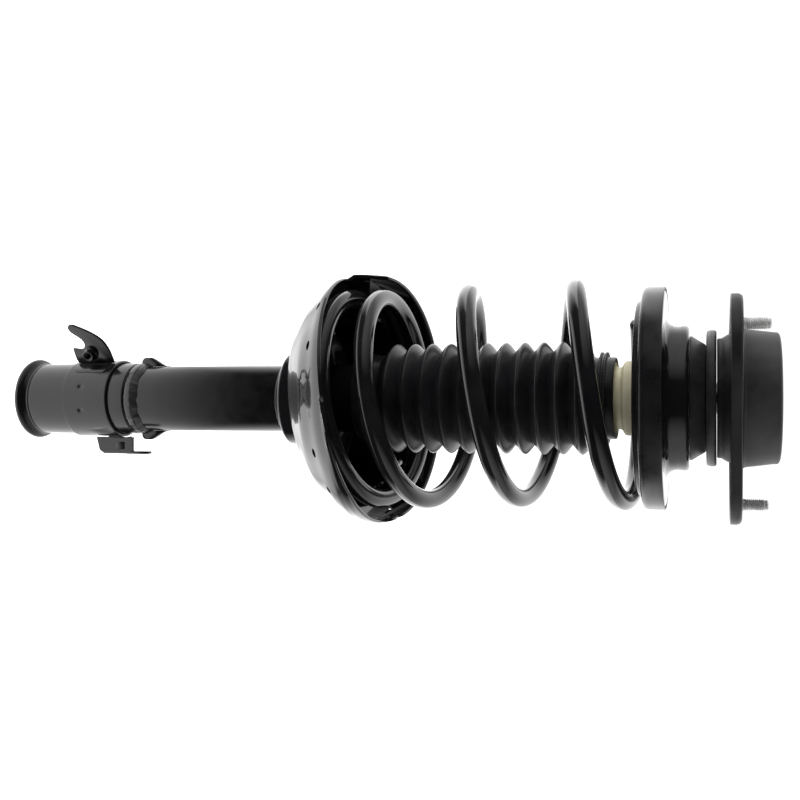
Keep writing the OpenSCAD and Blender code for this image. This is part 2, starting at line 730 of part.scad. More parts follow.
module rod_guide() {
    top = tube_top - 8;
    shoulder = tube_top - 18 + near;
    color("#77797c") turned([
        [rod_r + running, top], [inner_tube_r - near, top], [inner_tube_r - near, shoulder],
        [bore_r - near, shoulder], [bore_r - near, shoulder - 9], [rod_r + running, shoulder - 9]]);
}

module oil_seal() {
    color("#2c2c2e")
        ring(rod_r + running, inner_tube_r - near, tube_top - 8 + near, tube_top - tube_wall - near);
}

knuckle_sleeve();
reserve_tube();
sleeve_weld();
clamp_band();
hose_ear();
hose_nut();
harness_bracket();
locating_fins();
seat_collar();
collar_weld();
lower_spring_seat();
pressure_tube();
base_cap();
base_valve();
rod_guide();
oil_seal();
coil_spring();
boot();
boot_tie();
bump_stop();
upper_isolator();
upper_spring_seat();
bearing_lower_race();
bearing_balls();
bearing_upper_race();
mount_plate();
mount_studs();
mount_rubber();
mount_core();
mount_cup();
piston_rod();
rod_nut();
rod_washer();
rebound_stop();
piston();
piston_band();
piston_nut();
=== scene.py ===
"""A MacPherson strut assembly: finished meshes, materials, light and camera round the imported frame.

Lengths and places are in millimetres in this file, and become metres where a mesh is made.
The strut axis is Z, with +Z up to the car body. Angles about it are in degrees from +X to +Y.
"""

import math

import bmesh
import bpy
from mathutils import Matrix, Vector, noise


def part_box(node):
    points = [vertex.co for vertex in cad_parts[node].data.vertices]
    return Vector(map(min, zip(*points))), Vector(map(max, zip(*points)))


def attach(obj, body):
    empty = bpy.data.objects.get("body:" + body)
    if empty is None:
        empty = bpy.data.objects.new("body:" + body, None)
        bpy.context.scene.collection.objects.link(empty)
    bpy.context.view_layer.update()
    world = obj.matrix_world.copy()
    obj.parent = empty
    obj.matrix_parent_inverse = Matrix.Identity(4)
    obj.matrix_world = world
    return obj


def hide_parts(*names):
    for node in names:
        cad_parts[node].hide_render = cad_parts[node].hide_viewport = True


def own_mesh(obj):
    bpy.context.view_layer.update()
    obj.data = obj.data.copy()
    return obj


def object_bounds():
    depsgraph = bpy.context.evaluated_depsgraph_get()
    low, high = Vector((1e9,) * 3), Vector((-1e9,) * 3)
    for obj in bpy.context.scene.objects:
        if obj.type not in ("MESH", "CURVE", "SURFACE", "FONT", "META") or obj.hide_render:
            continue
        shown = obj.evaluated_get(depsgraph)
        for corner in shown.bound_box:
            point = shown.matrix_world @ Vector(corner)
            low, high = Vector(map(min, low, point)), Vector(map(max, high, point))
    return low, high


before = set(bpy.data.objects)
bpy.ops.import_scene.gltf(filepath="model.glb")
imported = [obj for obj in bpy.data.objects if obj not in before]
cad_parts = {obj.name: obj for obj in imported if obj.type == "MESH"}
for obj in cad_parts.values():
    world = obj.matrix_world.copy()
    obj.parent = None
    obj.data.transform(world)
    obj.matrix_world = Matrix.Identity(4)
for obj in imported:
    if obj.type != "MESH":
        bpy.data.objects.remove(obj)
cad_low, cad_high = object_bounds()

MM = 0.001
DAMPER = "damper_body"
SEAT = "spring_seat"
MOUNT = "top_mount"
STROKE = 85.0
TURN = 360.0
SEGMENTS = 144
SHARP_ANGLE = math.radians(38)
WELD_DISTANCE = 2e-7
EDGE_STEPS = 3


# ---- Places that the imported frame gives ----

def node_box(node):
    """Lowest and highest corner of a CAD node, in millimetres."""
    low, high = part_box(node)
    return low / MM, high / MM


def node_radius(node):
    """Largest distance of a round CAD node from the strut axis."""
    return node_box(node)[1].x


def node_heights(node):
    """Lowest and highest height of a CAD node."""
    low, high = node_box(node)
    return low.z, high.z


def round_node(node):
    """Lowest and highest height of a round CAD node, and its radius."""
    low, high = node_heights(node)
    return low, high, node_radius(node)


TUBE_R = node_radius("reserve_tube")
TUBE_BOTTOM, TUBE_TOP = node_heights("reserve_tube")
SLEEVE_BOTTOM, SLEEVE_TOP = node_heights("knuckle_sleeve")
SLEEVE_R = TUBE_R + 3.0
LIP_R = node_radius("knuckle_sleeve")
BAND_R = node_radius("clamp_band")
BAND_BOTTOM, BAND_TOP = node_heights("clamp_band")
GAP = 0.1
SHEET = 2.2


# ---- Mesh helpers ----

def polar(radius, degrees, height):
    """A point at a radius, an angle about the strut axis and a height."""
    a = math.radians(degrees)
    return Vector((radius * math.cos(a), radius * math.sin(a), height))


def smoothstep(value, low, high):
    """0 below low, 1 above high, and a smooth climb between them."""
    t = min(max((value - low) / (high - low), 0.0), 1.0)
    return t * t * (3 - 2 * t)


def mix(a, b, share):
    return a + (b - a) * share


def hill(value, centre, width):
    """A smooth hump of height 1 at centre."""
    return math.exp(-(((value - centre) / width) ** 2))


def turn_from(degrees, centre):
    """The signed angle from centre, between -180 and 180."""
    return (degrees - centre + TURN / 2) % TURN - TURN / 2


def rounded(points, radius, steps=4):
    """Softens every corner of a closed outline. radius is one number, or one for each point."""
    out = []
    count = len(points)
    for i, point in enumerate(points):
        p = Vector(point)
        before = Vector(points[i - 1]) - p
        after = Vector(points[(i + 1) % count]) - p
        wanted = radius[i] if isinstance(radius, (list, tuple)) else radius
        cut_back = min(wanted, 0.45 * before.length, 0.45 * after.length)
        if cut_back < 0.02:
            out.append(p)
            continue
        a = p + before.normalized() * cut_back
        b = p + after.normalized() * cut_back
        for k in range(steps + 1):
            t = k / steps
            out.append(a * (1 - t) ** 2 + p * (2 * t * (1 - t)) + b * t**2)
    return out


def divided(points, step):
    """The same closed outline with no side longer than step."""
    out = []
    for i, point in enumerate(points):
        a = Vector(point)
        b = Vector(points[(i + 1) % len(points)])
        pieces = max(1, math.ceil((b - a).length / step))
        out += [a.lerp(b, k / pieces) for k in range(pieces)]
    return out


def smooth_line(points, steps):
    """An open smooth curve through the points, with steps points for each span."""
    out = []
    last = len(points) - 1
    for i in range(last):
        p0 = points[max(i - 1, 0)]
        p1 = points[i]
        p2 = points[i + 1]
        p3 = points[min(i + 2, last)]
        for k in range(steps):
            t = k / steps
            out.append(
                0.5 * (2 * p1 + (p2 - p0) * t + (2 * p0 - 5 * p1 + 4 * p2 - p3) * t**2
                       + (3 * p1 - p0 - 3 * p2 + p3) * t**3))
    out.append(points[last])
    return out


def even_line(points, count):
    """count points spread evenly along an open line."""
    lengths = [0.0]
    for a, b in zip(points, points[1:]):
        lengths.append(lengths[-1] + (b - a).length)
    out = []
    k = 0
    for i in range(count):
        wanted = lengths[-1] * i / (count - 1)
        while k < len(points) - 2 and lengths[k + 1] < wanted:
            k += 1
        span = max(lengths[k + 1] - lengths[k], 1e-9)
        out.append(points[k].lerp(points[k + 1], min((wanted - lengths[k]) / span, 1.0)))
    return out


def add_object(name, mesh):
    """Links a mesh as a new object, smooth but for its sharp corners."""
    mesh.shade_smooth()
    mesh.set_sharp_from_angle(angle=SHARP_ANGLE)
    obj = bpy.data.objects.new(name, mesh)
    bpy.context.scene.collection.objects.link(obj)
    return obj


def to_object(name, verts, faces):
    """An object from points in millimetres."""
    mesh = bpy.data.meshes.new(name)
    mesh.from_pydata([[c * MM for c in v] for v in verts], [], faces)
    bm = bmesh.new()
    bm.from_mesh(mesh)
    bmesh.ops.remove_doubles(bm, verts=bm.verts, dist=WELD_DISTANCE)
    bmesh.ops.recalc_face_normals(bm, faces=bm.faces)
    bm.to_mesh(mesh)
    bm.free()
    return add_object(name, mesh)


def loft(name, loops, closed=True):
    """A solid through loops of the same number of points. It joins up if closed, or has end caps."""
    count = len(loops[0])
    verts = [v for loop in loops for v in loop]
    faces = []
    for i in range(len(loops) if closed else len(loops) - 1):
        a = i * count
        b = (i + 1) % len(loops) * count
        for k in range(count):
            m = (k + 1) % count
            faces.append((a + k, b + k, b + m, a + m))
    if not closed:
        faces.append(tuple(range(count)))
        faces.append(tuple(len(verts) - 1 - k for k in range(count)))
    return to_object(name, verts, faces)


def lathe(name, outline, segments=SEGMENTS, shape=None):
    """A solid of revolution about the strut axis, from a closed outline of radius and height.
    shape(radius, height, degrees) may move each point of it."""
    loops = []
    for i in range(segments):
        degrees = TURN * i / segments
        loop = []
        for radius, height in outline:
            if shape is not None:
                radius, height = shape(radius, height, degrees)
            loop.append(polar(radius, degrees, height))
        loops.append(loop)
    return loft(name, loops)


def slab(name, outline, thickness, edge):
    """A flat sheet in the XY plane, centred on it, from an outline, with rounded edges."""
    half = thickness / 2
    bm = bmesh.new()
    low = [bm.verts.new((x * MM, y * MM, -half * MM)) for x, y in outline]
    high = [bm.verts.new((x * MM, y * MM, half * MM)) for x, y in outline]
    bm.faces.new(low[::-1])
    bm.faces.new(high)
    count = len(outline)
    for i in range(count):
        m = (i + 1) % count
        bm.faces.new((low[i], low[m], high[m], high[i]))
    bmesh.ops.recalc_face_normals(bm, faces=bm.faces)
    rim = [e for e in bm.edges if abs(e.verts[0].co.z - e.verts[1].co.z) < WELD_DISTANCE]
    bmesh.ops.bevel(bm, geom=rim, offset=edge * MM, segments=EDGE_STEPS, profile=0.5,
                     affect="EDGES")
    mesh = bpy.data.meshes.new(name)
    bm.to_mesh(mesh)
    bm.free()
    return add_object(name, mesh)


def move_points(obj, change):
    """Moves each of an object's points, given and returned in millimetres."""
    for vertex in obj.data.vertices:
        vertex.co = change(vertex.co / MM) * MM
    obj.data.update()
    return obj


def placed(obj, origin, x_axis, z_axis):
    """Puts an object drawn about its own origin at a place, with its own X and Z axes turned."""
    z = Vector(z_axis).normalized()
    x = Vector(x_axis).normalized()
    y = z.cross(x)
    turn = Matrix((x, y, z)).transposed()
    return move_points(obj, lambda p: Vector(origin) + turn @ p)


def joined(name, objects):
    """One object from several that already lie in place."""
    bm = bmesh.new()
    for obj in objects:
        bm.from_mesh(obj.data)
        bpy.data.objects.remove(obj)
    mesh = bpy.data.meshes.new(name)
    bm.to_mesh(mesh)
    bm.free()
    return add_object(name, mesh)


def combined(obj, others, operation):
    """Cuts the others out of obj, or adds them to it, and removes them."""
    for other in others:
        modifier = obj.modifiers.new("combine", "BOOLEAN")
        modifier.operation = operation
        modifier.solver = "EXACT"
        modifier.object = other
    graph = bpy.context.evaluated_depsgraph_get()
    mesh = bpy.data.meshes.new_from_object(obj.evaluated_get(graph))
    obj.modifiers.clear()
    obj.data = mesh
    for other in others:
        bpy.data.objects.remove(other)
    mesh.shade_smooth()
    mesh.set_sharp_from_angle(angle=SHARP_ANGLE)
    return obj


def finished(obj, body, slot, material, *nodes):
    """Gives a piece its material and body, and hides the CAD nodes that it stands for."""
    obj.data.materials.clear()
    obj.data.materials.append(material)
    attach(obj, body)
    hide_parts(*nodes)
    return obj


# ---- Materials ----

METAL_RELIEF = 0.01
COAT_ROUGHNESS = 0.06
RUBBER_SHEEN = 0.45


def new_material(name):
    """An empty node material with its shader: the material, its nodes, its links and the shader."""
    material = bpy.data.materials.new(name)
    material.use_nodes = True
    nodes = material.node_tree.nodes
    return material, nodes, material.node_tree.links, nodes["Principled BSDF"]


def grain(nodes, links, scale, detail=4.0, rough=0.55, kind="ShaderNodeTexNoise"):
    """A noise or cell texture fixed to the piece, with scale features to the metre."""
    place = nodes.new("ShaderNodeTexCoord")
    texture = nodes.new(kind)
    texture.inputs["Scale"].default_value = scale
    if kind == "ShaderNodeTexNoise":
        texture.inputs["Detail"].default_value = detail
        texture.inputs["Roughness"].default_value = rough
    links.new(place.outputs["Object"], texture.inputs["Vector"])
    return texture.outputs["Fac" if kind == "ShaderNodeTexNoise" else "Distance"]


def ranged(nodes, links, source, low, high, out_low, out_high):
    """Maps a value from low..high to out_low..out_high."""
    node = nodes.new("ShaderNodeMapRange")
    node.inputs["From Min"].default_value = low
    node.inputs["From Max"].default_value = high
    node.inputs["To Min"].default_value = out_low
    node.inputs["To Max"].default_value = out_high
    links.new(source, node.inputs["Value"])
    return node.outputs["Result"]


def combined_value(nodes, links, operation, first, second):
    """One value from two, by the maths node's operation."""
    node = nodes.new("ShaderNodeMath")
    node.operation = operation
    links.new(first, node.inputs[0])
    links.new(second, node.inputs[1])
    return node.outputs["Value"]


def two_tone(nodes, links, source, low, high, dark, light):
    """A colour that runs from dark to light as the source goes from low to high."""
    ramp = nodes.new("ShaderNodeValToRGB")
    ramp.color_ramp.elements[0].position = low
    ramp.color_ramp.elements[0].color = (*dark, 1.0)
    ramp.color_ramp.elements[1].position = high
    ramp.color_ramp.elements[1].color = (*light, 1.0)
    links.new(source, ramp.inputs["Fac"])
    return ramp.outputs["Color"]


def bumped(nodes, links, source, strength, depth, shader, under=None):
    """Adds relief of a depth in millimetres to the shader, over any relief already there."""
    bump = nodes.new("ShaderNodeBump")
    bump.inputs["Strength"].default_value = strength
    bump.inputs["Distance"].default_value = depth * MM
    links.new(source, bump.inputs["Height"])
    if under is not None:
        links.new(under, bump.inputs["Normal"])
    links.new(bump.outputs["Normal"], shader.inputs["Normal"])
    return bump.outputs["Normal"]


def paint(name, dark, light, rough_low, rough_high, peel=0.02, coat=0.0):
    """Sprayed or powder paint: slight colour drift, uneven gloss, orange peel and fine grain."""
    material, nodes, links, shader = new_material(name)
    drift = grain(nodes, links, 28.0)
    smudge = grain(nodes, links, 90.0, detail=6.0)
    speck = grain(nodes, links, 1100.0, detail=2.0)
    links.new(two_tone(nodes, links, drift, 0.35, 0.7, dark, light), shader.inputs["Base Color"])
    links.new(ranged(nodes, links, smudge, 0.3, 0.7, rough_low, rough_high),
              shader.inputs["Roughness"])
    shader.inputs["Coat Weight"].default_value = coat
    shader.inputs["Coat Roughness"].default_value = COAT_ROUGHNESS
    skin = bumped(nodes, links, grain(nodes, links, 420.0, detail=1.0), 0.5, peel, shader)
    bumped(nodes, links, speck, 0.1, peel * 0.5, shader, under=skin)
    return material


def metal(name, dark, light, rough_low, rough_high, metallic=1.0):
    """Bare or plated metal with a drifting tint, uneven polish and fine marks."""
    material, nodes, links, shader = new_material(name)
    drift = grain(nodes, links, 140.0, detail=6.0)
    marks = grain(nodes, links, 1800.0, detail=3.0)
    links.new(two_tone(nodes, links, drift, 0.35, 0.68, dark, light), shader.inputs["Base Color"])
    links.new(ranged(nodes, links, marks, 0.3, 0.7, rough_low, rough_high),
              shader.inputs["Roughness"])
    shader.inputs["Metallic"].default_value = metallic
    bumped(nodes, links, marks, 0.3, METAL_RELIEF, shader)
    return material


def rubber(name, dark, light, rough_low, rough_high, relief=0.05, scale=1400.0):
    """Moulded rubber or plastic: fine grain, dusty patches and a soft sheen."""
    material, nodes, links, shader = new_material(name)
    dust = grain(nodes, links, 55.0, detail=8.0, rough=0.65)
    fine = grain(nodes, links, scale, detail=4.0)
    links.new(two_tone(nodes, links, dust, 0.38, 0.72, dark, light), shader.inputs["Base Color"])
    links.new(ranged(nodes, links, dust, 0.3, 0.7, rough_low, rough_high),
              shader.inputs["Roughness"])
    shader.inputs["Specular IOR Level"].default_value = RUBBER_SHEEN
    bumped(nodes, links, fine, 0.35, relief, shader)
    return material


def foam(name):
    """Cream cellular foam: small open pores, and a tone that drifts slightly darker and lighter in soft
    clouds.
    """
    material, nodes, links, shader = new_material(name)
    pores = grain(nodes, links, 1500.0, kind="ShaderNodeTexVoronoi")
    cloud = grain(nodes, links, 60.0, detail=6.0)
    links.new(two_tone(nodes, links, cloud, 0.3, 0.75, (0.40, 0.375, 0.26), (0.56, 0.53, 0.385)),
              shader.inputs["Base Color"])
    links.new(ranged(nodes, links, cloud, 0.3, 0.7, 0.6, 0.8), shader.inputs["Roughness"])
    bumped(nodes, links, pores, 0.3, 0.12, shader)
    return material


TUBE_PAINT = paint("tube_paint", (0.003, 0.003, 0.0035), (0.006, 0.006, 0.0065), 0.17, 0.26,
                   peel=0.002)
BRACKET_PAINT = paint("bracket_paint", (0.004, 0.004, 0.004), (0.009, 0.009, 0.009), 0.16, 0.25,
                      peel=0.003)
WELD_PAINT = paint("weld_paint", (0.012, 0.012, 0.012), (0.030, 0.030, 0.030), 0.14, 0.3, peel=0.05)
SEAT_GLOSS = paint("seat_gloss", (0.006, 0.006, 0.007), (0.012, 0.012, 0.013), 0.06, 0.13,
                   peel=0.003, coat=0.4)
SPRING_COAT = paint("spring_coat", (0.006, 0.006, 0.007), (0.013, 0.013, 0.014), 0.09, 0.17,
                    peel=0.003, coat=0.3)
BOOT_PLASTIC = rubber("boot_plastic", (0.008, 0.008, 0.009), (0.016, 0.016, 0.018), 0.26, 0.36,
                      relief=0.02)
TIE_PLASTIC = rubber("tie_plastic", (0.010, 0.010, 0.011), (0.022, 0.022, 0.023), 0.32, 0.45)
BUMP_FOAM = foam("bump_foam")
ISOLATOR_RUBBER = rubber("isolator_rubber", (0.008, 0.008, 0.009), (0.017, 0.017, 0.018), 0.24, 0.33,
                         relief=0.015)
SEAL_RUBBER = rubber("seal_rubber", (0.010, 0.010, 0.011), (0.022, 0.022, 0.023), 0.5, 0.7)
BEARING_PLASTIC = rubber("bearing_plastic", (0.014, 0.014, 0.015), (0.028, 0.028, 0.030), 0.34, 0.5)
MOUNT_PAINT = paint("mount_paint", (0.012, 0.012, 0.013), (0.024, 0.024, 0.025), 0.34, 0.48, peel=0.02)
CUP_COATING = rubber("cup_coating", (0.030, 0.030, 0.032), (0.050, 0.050, 0.053), 0.42, 0.58,
                     relief=0.09, scale=900.0)
ZINC = metal("stud_zinc", (0.50, 0.50, 0.50), (0.70, 0.70, 0.69), 0.26, 0.38, metallic=0.3)
INNER_STEEL = metal("inner_steel", (0.30, 0.30, 0.31), (0.46, 0.46, 0.47), 0.3, 0.48)
BALL_STEEL = metal("bearing_steel", (0.62, 0.62, 0.63), (0.78, 0.78, 0.79), 0.06, 0.14)
CHROME = metal("rod_chrome", (0.60, 0.61, 0.62), (0.72, 0.73, 0.74), 0.05, 0.12)
PTFE = rubber("band_ptfe", (0.05, 0.035, 0.022), (0.09, 0.065, 0.042), 0.4, 0.55)


# ---- Lower end: tube, sleeve, welds and fins ----

def make_sleeve():
    """The knuckle's sleeve, with the rolled lip and the flared mouth at its open end."""
    z = SLEEVE_BOTTOM
    inner = TUBE_R + GAP
    outline = rounded([
        (inner, SLEEVE_TOP), (SLEEVE_R - 0.5, SLEEVE_TOP), (SLEEVE_R, SLEEVE_TOP - 1.5),
        (SLEEVE_R, z + 11.5), (SLEEVE_R - 1.1, z + 8.2), (SLEEVE_R + 1.2, z + 5.6),
        (LIP_R - 1.0, z + 4.6), (LIP_R, z + 2.6), (LIP_R - 0.8, z + 0.4), (LIP_R - 2.4, z),
        (LIP_R - 4.4, z + 2.4), (inner + 0.9, z + 6.0), (inner, z + 9.5)], 1.6)

    def worn(radius, height, degrees):
        """The lip is slightly out of round from rolling."""
        share = smoothstep(height, z + 9, z + 2)
        wave = noise.noise(polar(1.3, degrees, 0.0)) * 0.25 * share
        return min(radius + wave, LIP_R), height

    obj = lathe("knuckle_sleeve_skin", divided(outline, 9.0), shape=worn)
    return finished(obj, DAMPER, "tube_paint", TUBE_PAINT, "knuckle_sleeve")


def make_tube():
    """The reserve tube, rolled in over the seal at its top."""
    inner = TUBE_R - 2.5
    outline = rounded([
        (inner, TUBE_BOTTOM), (TUBE_R, TUBE_BOTTOM), (TUBE_R, TUBE_TOP - 3.4),
        (TUBE_R - 1.2, TUBE_TOP - 0.6), (TUBE_R - 3.2, TUBE_TOP), (inner - 3.0, TUBE_TOP - 0.4),
        (inner - 3.0, TUBE_TOP - 2.4), (inner - 0.6, TUBE_TOP - 2.6), (inner, TUBE_TOP - 4.0)], 0.9)
    obj = lathe("reserve_tube_skin", divided(outline, 16.0))
    return finished(obj, DAMPER, "tube_paint", TUBE_PAINT, "reserve_tube")


WELD_RIPPLES = 15


def weld_bead(name, outline, node, ripple, wander):
    """A lathe with the overlapping ripples and the wandering edge of a weld run."""
    low, high = node_heights(node)
    middle = (low + high) / 2
    outer = node_radius(node)

    def lumpy(radius, height, degrees):
        if radius < TUBE_R + 0.5 and height < middle:
            return radius, height
        top = smoothstep(height, middle - 1, high)
        along = polar(2.6, degrees, 0.0)
        scallop = abs(math.sin(math.radians(degrees * WELD_RIPPLES)))
        lump = noise.noise(along * 1.7) * 0.5 + noise.noise(along * 5.3) * 0.4 + scallop * 0.1 - 0.3
        edge = noise.noise(along * 1.2 + Vector((0, 0, 7))) * wander - 0.4 * wander
        raised = radius + ripple * lump if radius > TUBE_R + 0.5 else radius
        return min(max(raised, TUBE_R + GAP), outer), height + edge * top

    obj = lathe(name, divided(rounded(outline, 1.2), 0.9), segments=288, shape=lumpy)
    return finished(obj, DAMPER, "weld_bead", WELD_PAINT, node)


def make_sleeve_weld():
    low, high, outer = round_node("sleeve_weld")
    return weld_bead("sleeve_weld_bead", [
        (TUBE_R + GAP, low), (SLEEVE_R - 0.2, low), (outer, low + 1.8), (outer, low + 5.5),
        (outer - 0.9, low + 8.2), (TUBE_R + 0.9, high - 0.8), (TUBE_R + GAP, high)],
        "sleeve_weld", 0.9, 2.6)


def make_collar_weld():
    low, high, outer = round_node("collar_weld")
    return weld_bead("collar_weld_bead", [
        (TUBE_R + GAP, low), (TUBE_R + 1.2, low + 0.1), (outer, high - 0.9), (outer - 0.3, high),
        (TUBE_R + GAP, high)], "collar_weld", 0.7, 0.3)


def make_fins():
    """Two rounded fins that locate the knuckle, tall at the lower end and running out upwards."""
    low, high = node_box("locating_fins")
    bottom = low.z + 0.1
    length = high.z - low.z - 0.4
    half = high.y - 0.1
    reach = high.x - TUBE_R - 0.1
    weld_top = node_heights("sleeve_weld")[1]
    loops = []
    for share in (0, 0.012, 0.03, 0.06, 0.1, 0.16, 0.24, 0.32, 0.4, 0.5, 0.6, 0.7, 0.8, 0.9, 0.96, 1):
        z = bottom + share * length
        nose = math.sqrt(max(0.0, 1 - (1 - min(share / 0.14, 1.0)) ** 2))
        run_out = 1 - smoothstep(share, 0.3, 1.0) ** 0.9
        root = mix(TUBE_R + 1.0, TUBE_R + GAP, smoothstep(z, weld_top - 2.5, weld_top))
        crest = TUBE_R + GAP + max(reach * min(0.45 + 0.55 * nose, run_out), 0.35)
        crest = max(crest, root + 0.3)
        width = half * (0.55 + 0.45 * nose) * (0.45 + 0.55 * min(1.0, run_out * 1.6))
        loop = []
        for k in range(21):
            turn = math.pi * k / 20 - math.pi / 2
            side = math.copysign(abs(math.sin(turn)) ** 0.7, turn)
            loop.append(Vector((mix(root, crest, math.cos(turn) ** 0.45), width * side, z)))
        loops.append(loop)
    fins = []
    for side in (1, -1):
        fin = loft("fin", loops, closed=False)
        fins.append(placed(fin, (0, 0, 0), (side, 0, 0), (0, 0, 1)))
    return finished(joined("locating_fin_pair", fins), DAMPER, "bracket_paint", BRACKET_PAINT,
                    "locating_fins")


# ---- Clamp band and its brackets ----

NEAR = 270.0
DIMPLE_OFF = 18
NOTCH_DIR = 262.0
GUSSET_DIR = 336.0


def make_band():
    """The clamp band: a sheet with a wavy lower edge, two dimples and a pressed gusset."""
    inner = SLEEVE_R + GAP
    outline = divided(rounded([
        (inner, BAND_BOTTOM), (BAND_R, BAND_BOTTOM), (BAND_R, BAND_TOP), (inner, BAND_TOP)],
        0.8), 1.3)
    height_span = BAND_TOP - BAND_BOTTOM
    dimple_z = BAND_BOTTOM + 0.42 * height_span
    gusset_z = BAND_BOTTOM + 0.72 * height_span

    def pressed(radius, height, degrees):
        notch = hill(turn_from(degrees, NOTCH_DIR), 0, 3.5) * 1.5
        wave = 0.5 + 0.5 * math.cos(math.radians(3 * turn_from(degrees, NOTCH_DIR + 40)))
        low_share = smoothstep(height, BAND_BOTTOM + 8, BAND_BOTTOM)
        height += low_share * (notch + 0.7 * wave)
        if radius > inner + 0.6:
            for centre in (NEAR - DIMPLE_OFF, NEAR + DIMPLE_OFF):
                off = math.hypot(turn_from(degrees, centre) * math.radians(BAND_R), height - dimple_z)
                radius -= 0.9 * hill(off, 0, 1.9)
            bulge = hill(turn_from(degrees, GUSSET_DIR), 0, 9) * hill(height, gusset_z, 8)
            crease = hill(turn_from(degrees, GUSSET_DIR - 12), 0, 3) * hill(height, gusset_z, 7)
            radius += 1.5 * bulge - 0.8 * crease
        return radius, height

    obj = lathe("clamp_band_sheet", outline, segments=288, shape=pressed)
    return finished(obj, DAMPER, "bracket_paint", BRACKET_PAINT, "clamp_band")


EAR_ROOT_DIR = 202.0
EAR_OUT_DIR = 210.0
EAR_REACH = 34.0
EAR_TIP_Z = -511.0
EAR_NUT_OUT = 8.5
EAR_NUT_Z = -497.0
PAD_EASE = 0.12


def ear_point(out, height, side=0.0):
    """A point of the leaning hose ear: the distance out from its root, the height, and to a side."""
    root = polar(BAND_R + GAP + SHEET / 2, EAR_ROOT_DIR, 0)
    out_axis = polar(1, EAR_OUT_DIR, 0)
    side_axis = polar(1, EAR_OUT_DIR + 90, 0)
    return root + out_axis * out + side_axis * side + Vector((0, 0, height))


def make_ear():
    """The hose ear: a leaning sheet with an open slot, rounded edges and a bent foot."""
    top = BAND_TOP - 3.5
    outline = rounded([
        (-0.9, BAND_BOTTOM + 4.5), (2.2, BAND_BOTTOM + 3.2), (5.5, EAR_TIP_Z - 2.0),
        (13.2, EAR_TIP_Z - 2.0), (12.2, -508.0), (11.9, -504.5), (13.9, -501.8), (17.0, -501.0),
        (20.6, -502.6), (24.2, -507.0), (27.6, -511.2), (31.4, -512.2), (EAR_REACH - 0.2, -510.0),
        (EAR_REACH - 0.3, -506.6), (30.4, -499.0), (26.4, -491.6), (20.4, -483.6),
        (11.0, top - 0.4), (-0.9, top + 0.6)],
        [0.6, 2, 2, 1.2, 2, 2, 2, 2, 2, 3, 1.5, 1.5, 2, 2.5, 4, 5, 5, 4, 1.0])
    plate = slab("ear", outline, SHEET, edge=1.0)
    placed(plate, ear_point(0, 0), ear_point(1, 0) - ear_point(0, 0),
           ear_point(0, 0) - ear_point(0, 0, 1))
    foot = bent_pad("ear_foot", EAR_ROOT_DIR - 1.5, EAR_ROOT_DIR + 26, BAND_BOTTOM + 6, top)
    obj = joined("hose_ear_sheet", [plate, foot])
    return finished(obj, DAMPER, "bracket_paint", BRACKET_PAINT, "hose_ear")


def bent_pad(name, start, end, low, high):
    """A sheet that lies on the clamp band between two directions and two heights."""
    inner = BAND_R + 0.05
    columns = 24
    loops = []
    for i in range(columns + 1):
        share = i / columns
        degrees = mix(start, end, share)
        from_end = min(share, 1 - share)
        ease = math.sin(math.pi * from_end / PAD_EASE / 2) if from_end < PAD_EASE else 1.0
        thick = mix(0.2, 0.8, ease)
        trim = mix(3.5, 0.0, smoothstep(from_end, 0, 0.25))
        section = rounded([
            (inner, low + trim), (inner + thick, low + trim), (inner + thick, high - trim),
            (inner, high - trim)], 0.3)
        loops.append([polar(r, degrees, z) for r, z in section])
    return loft(name, loops, closed=False)


def make_hose_nut():
    """The weld boss behind the ear: a flanged round tube with a threaded bore."""
    outer = 5.9
    length = 6.0
    bore = 3.0
    thread = []
    for k in range(11):
        z = length - 0.4 - k * 0.5
        thread += [(bore, z), (bore + 0.32, z - 0.25)]
    outline = rounded([(bore + 0.5, 0.0), (outer, 0.0), (outer, 1.4), (outer - 1.2, 2.0),
                       (outer - 1.2, length - 0.5), (outer - 1.8, length), (bore + 0.5, length)],
                      0.4) + [Vector(p) for p in thread]
    nut = lathe("hose_boss", outline, segments=64)
    side = -(SHEET / 2 + GAP)
    origin = ear_point(EAR_NUT_OUT, EAR_NUT_Z, -side)
    placed(nut, origin, (0, 0, 1), ear_point(0, 0, 1) - ear_point(0, 0))
    return finished(nut, DAMPER, "bracket_paint", BRACKET_PAINT, "hose_nut")


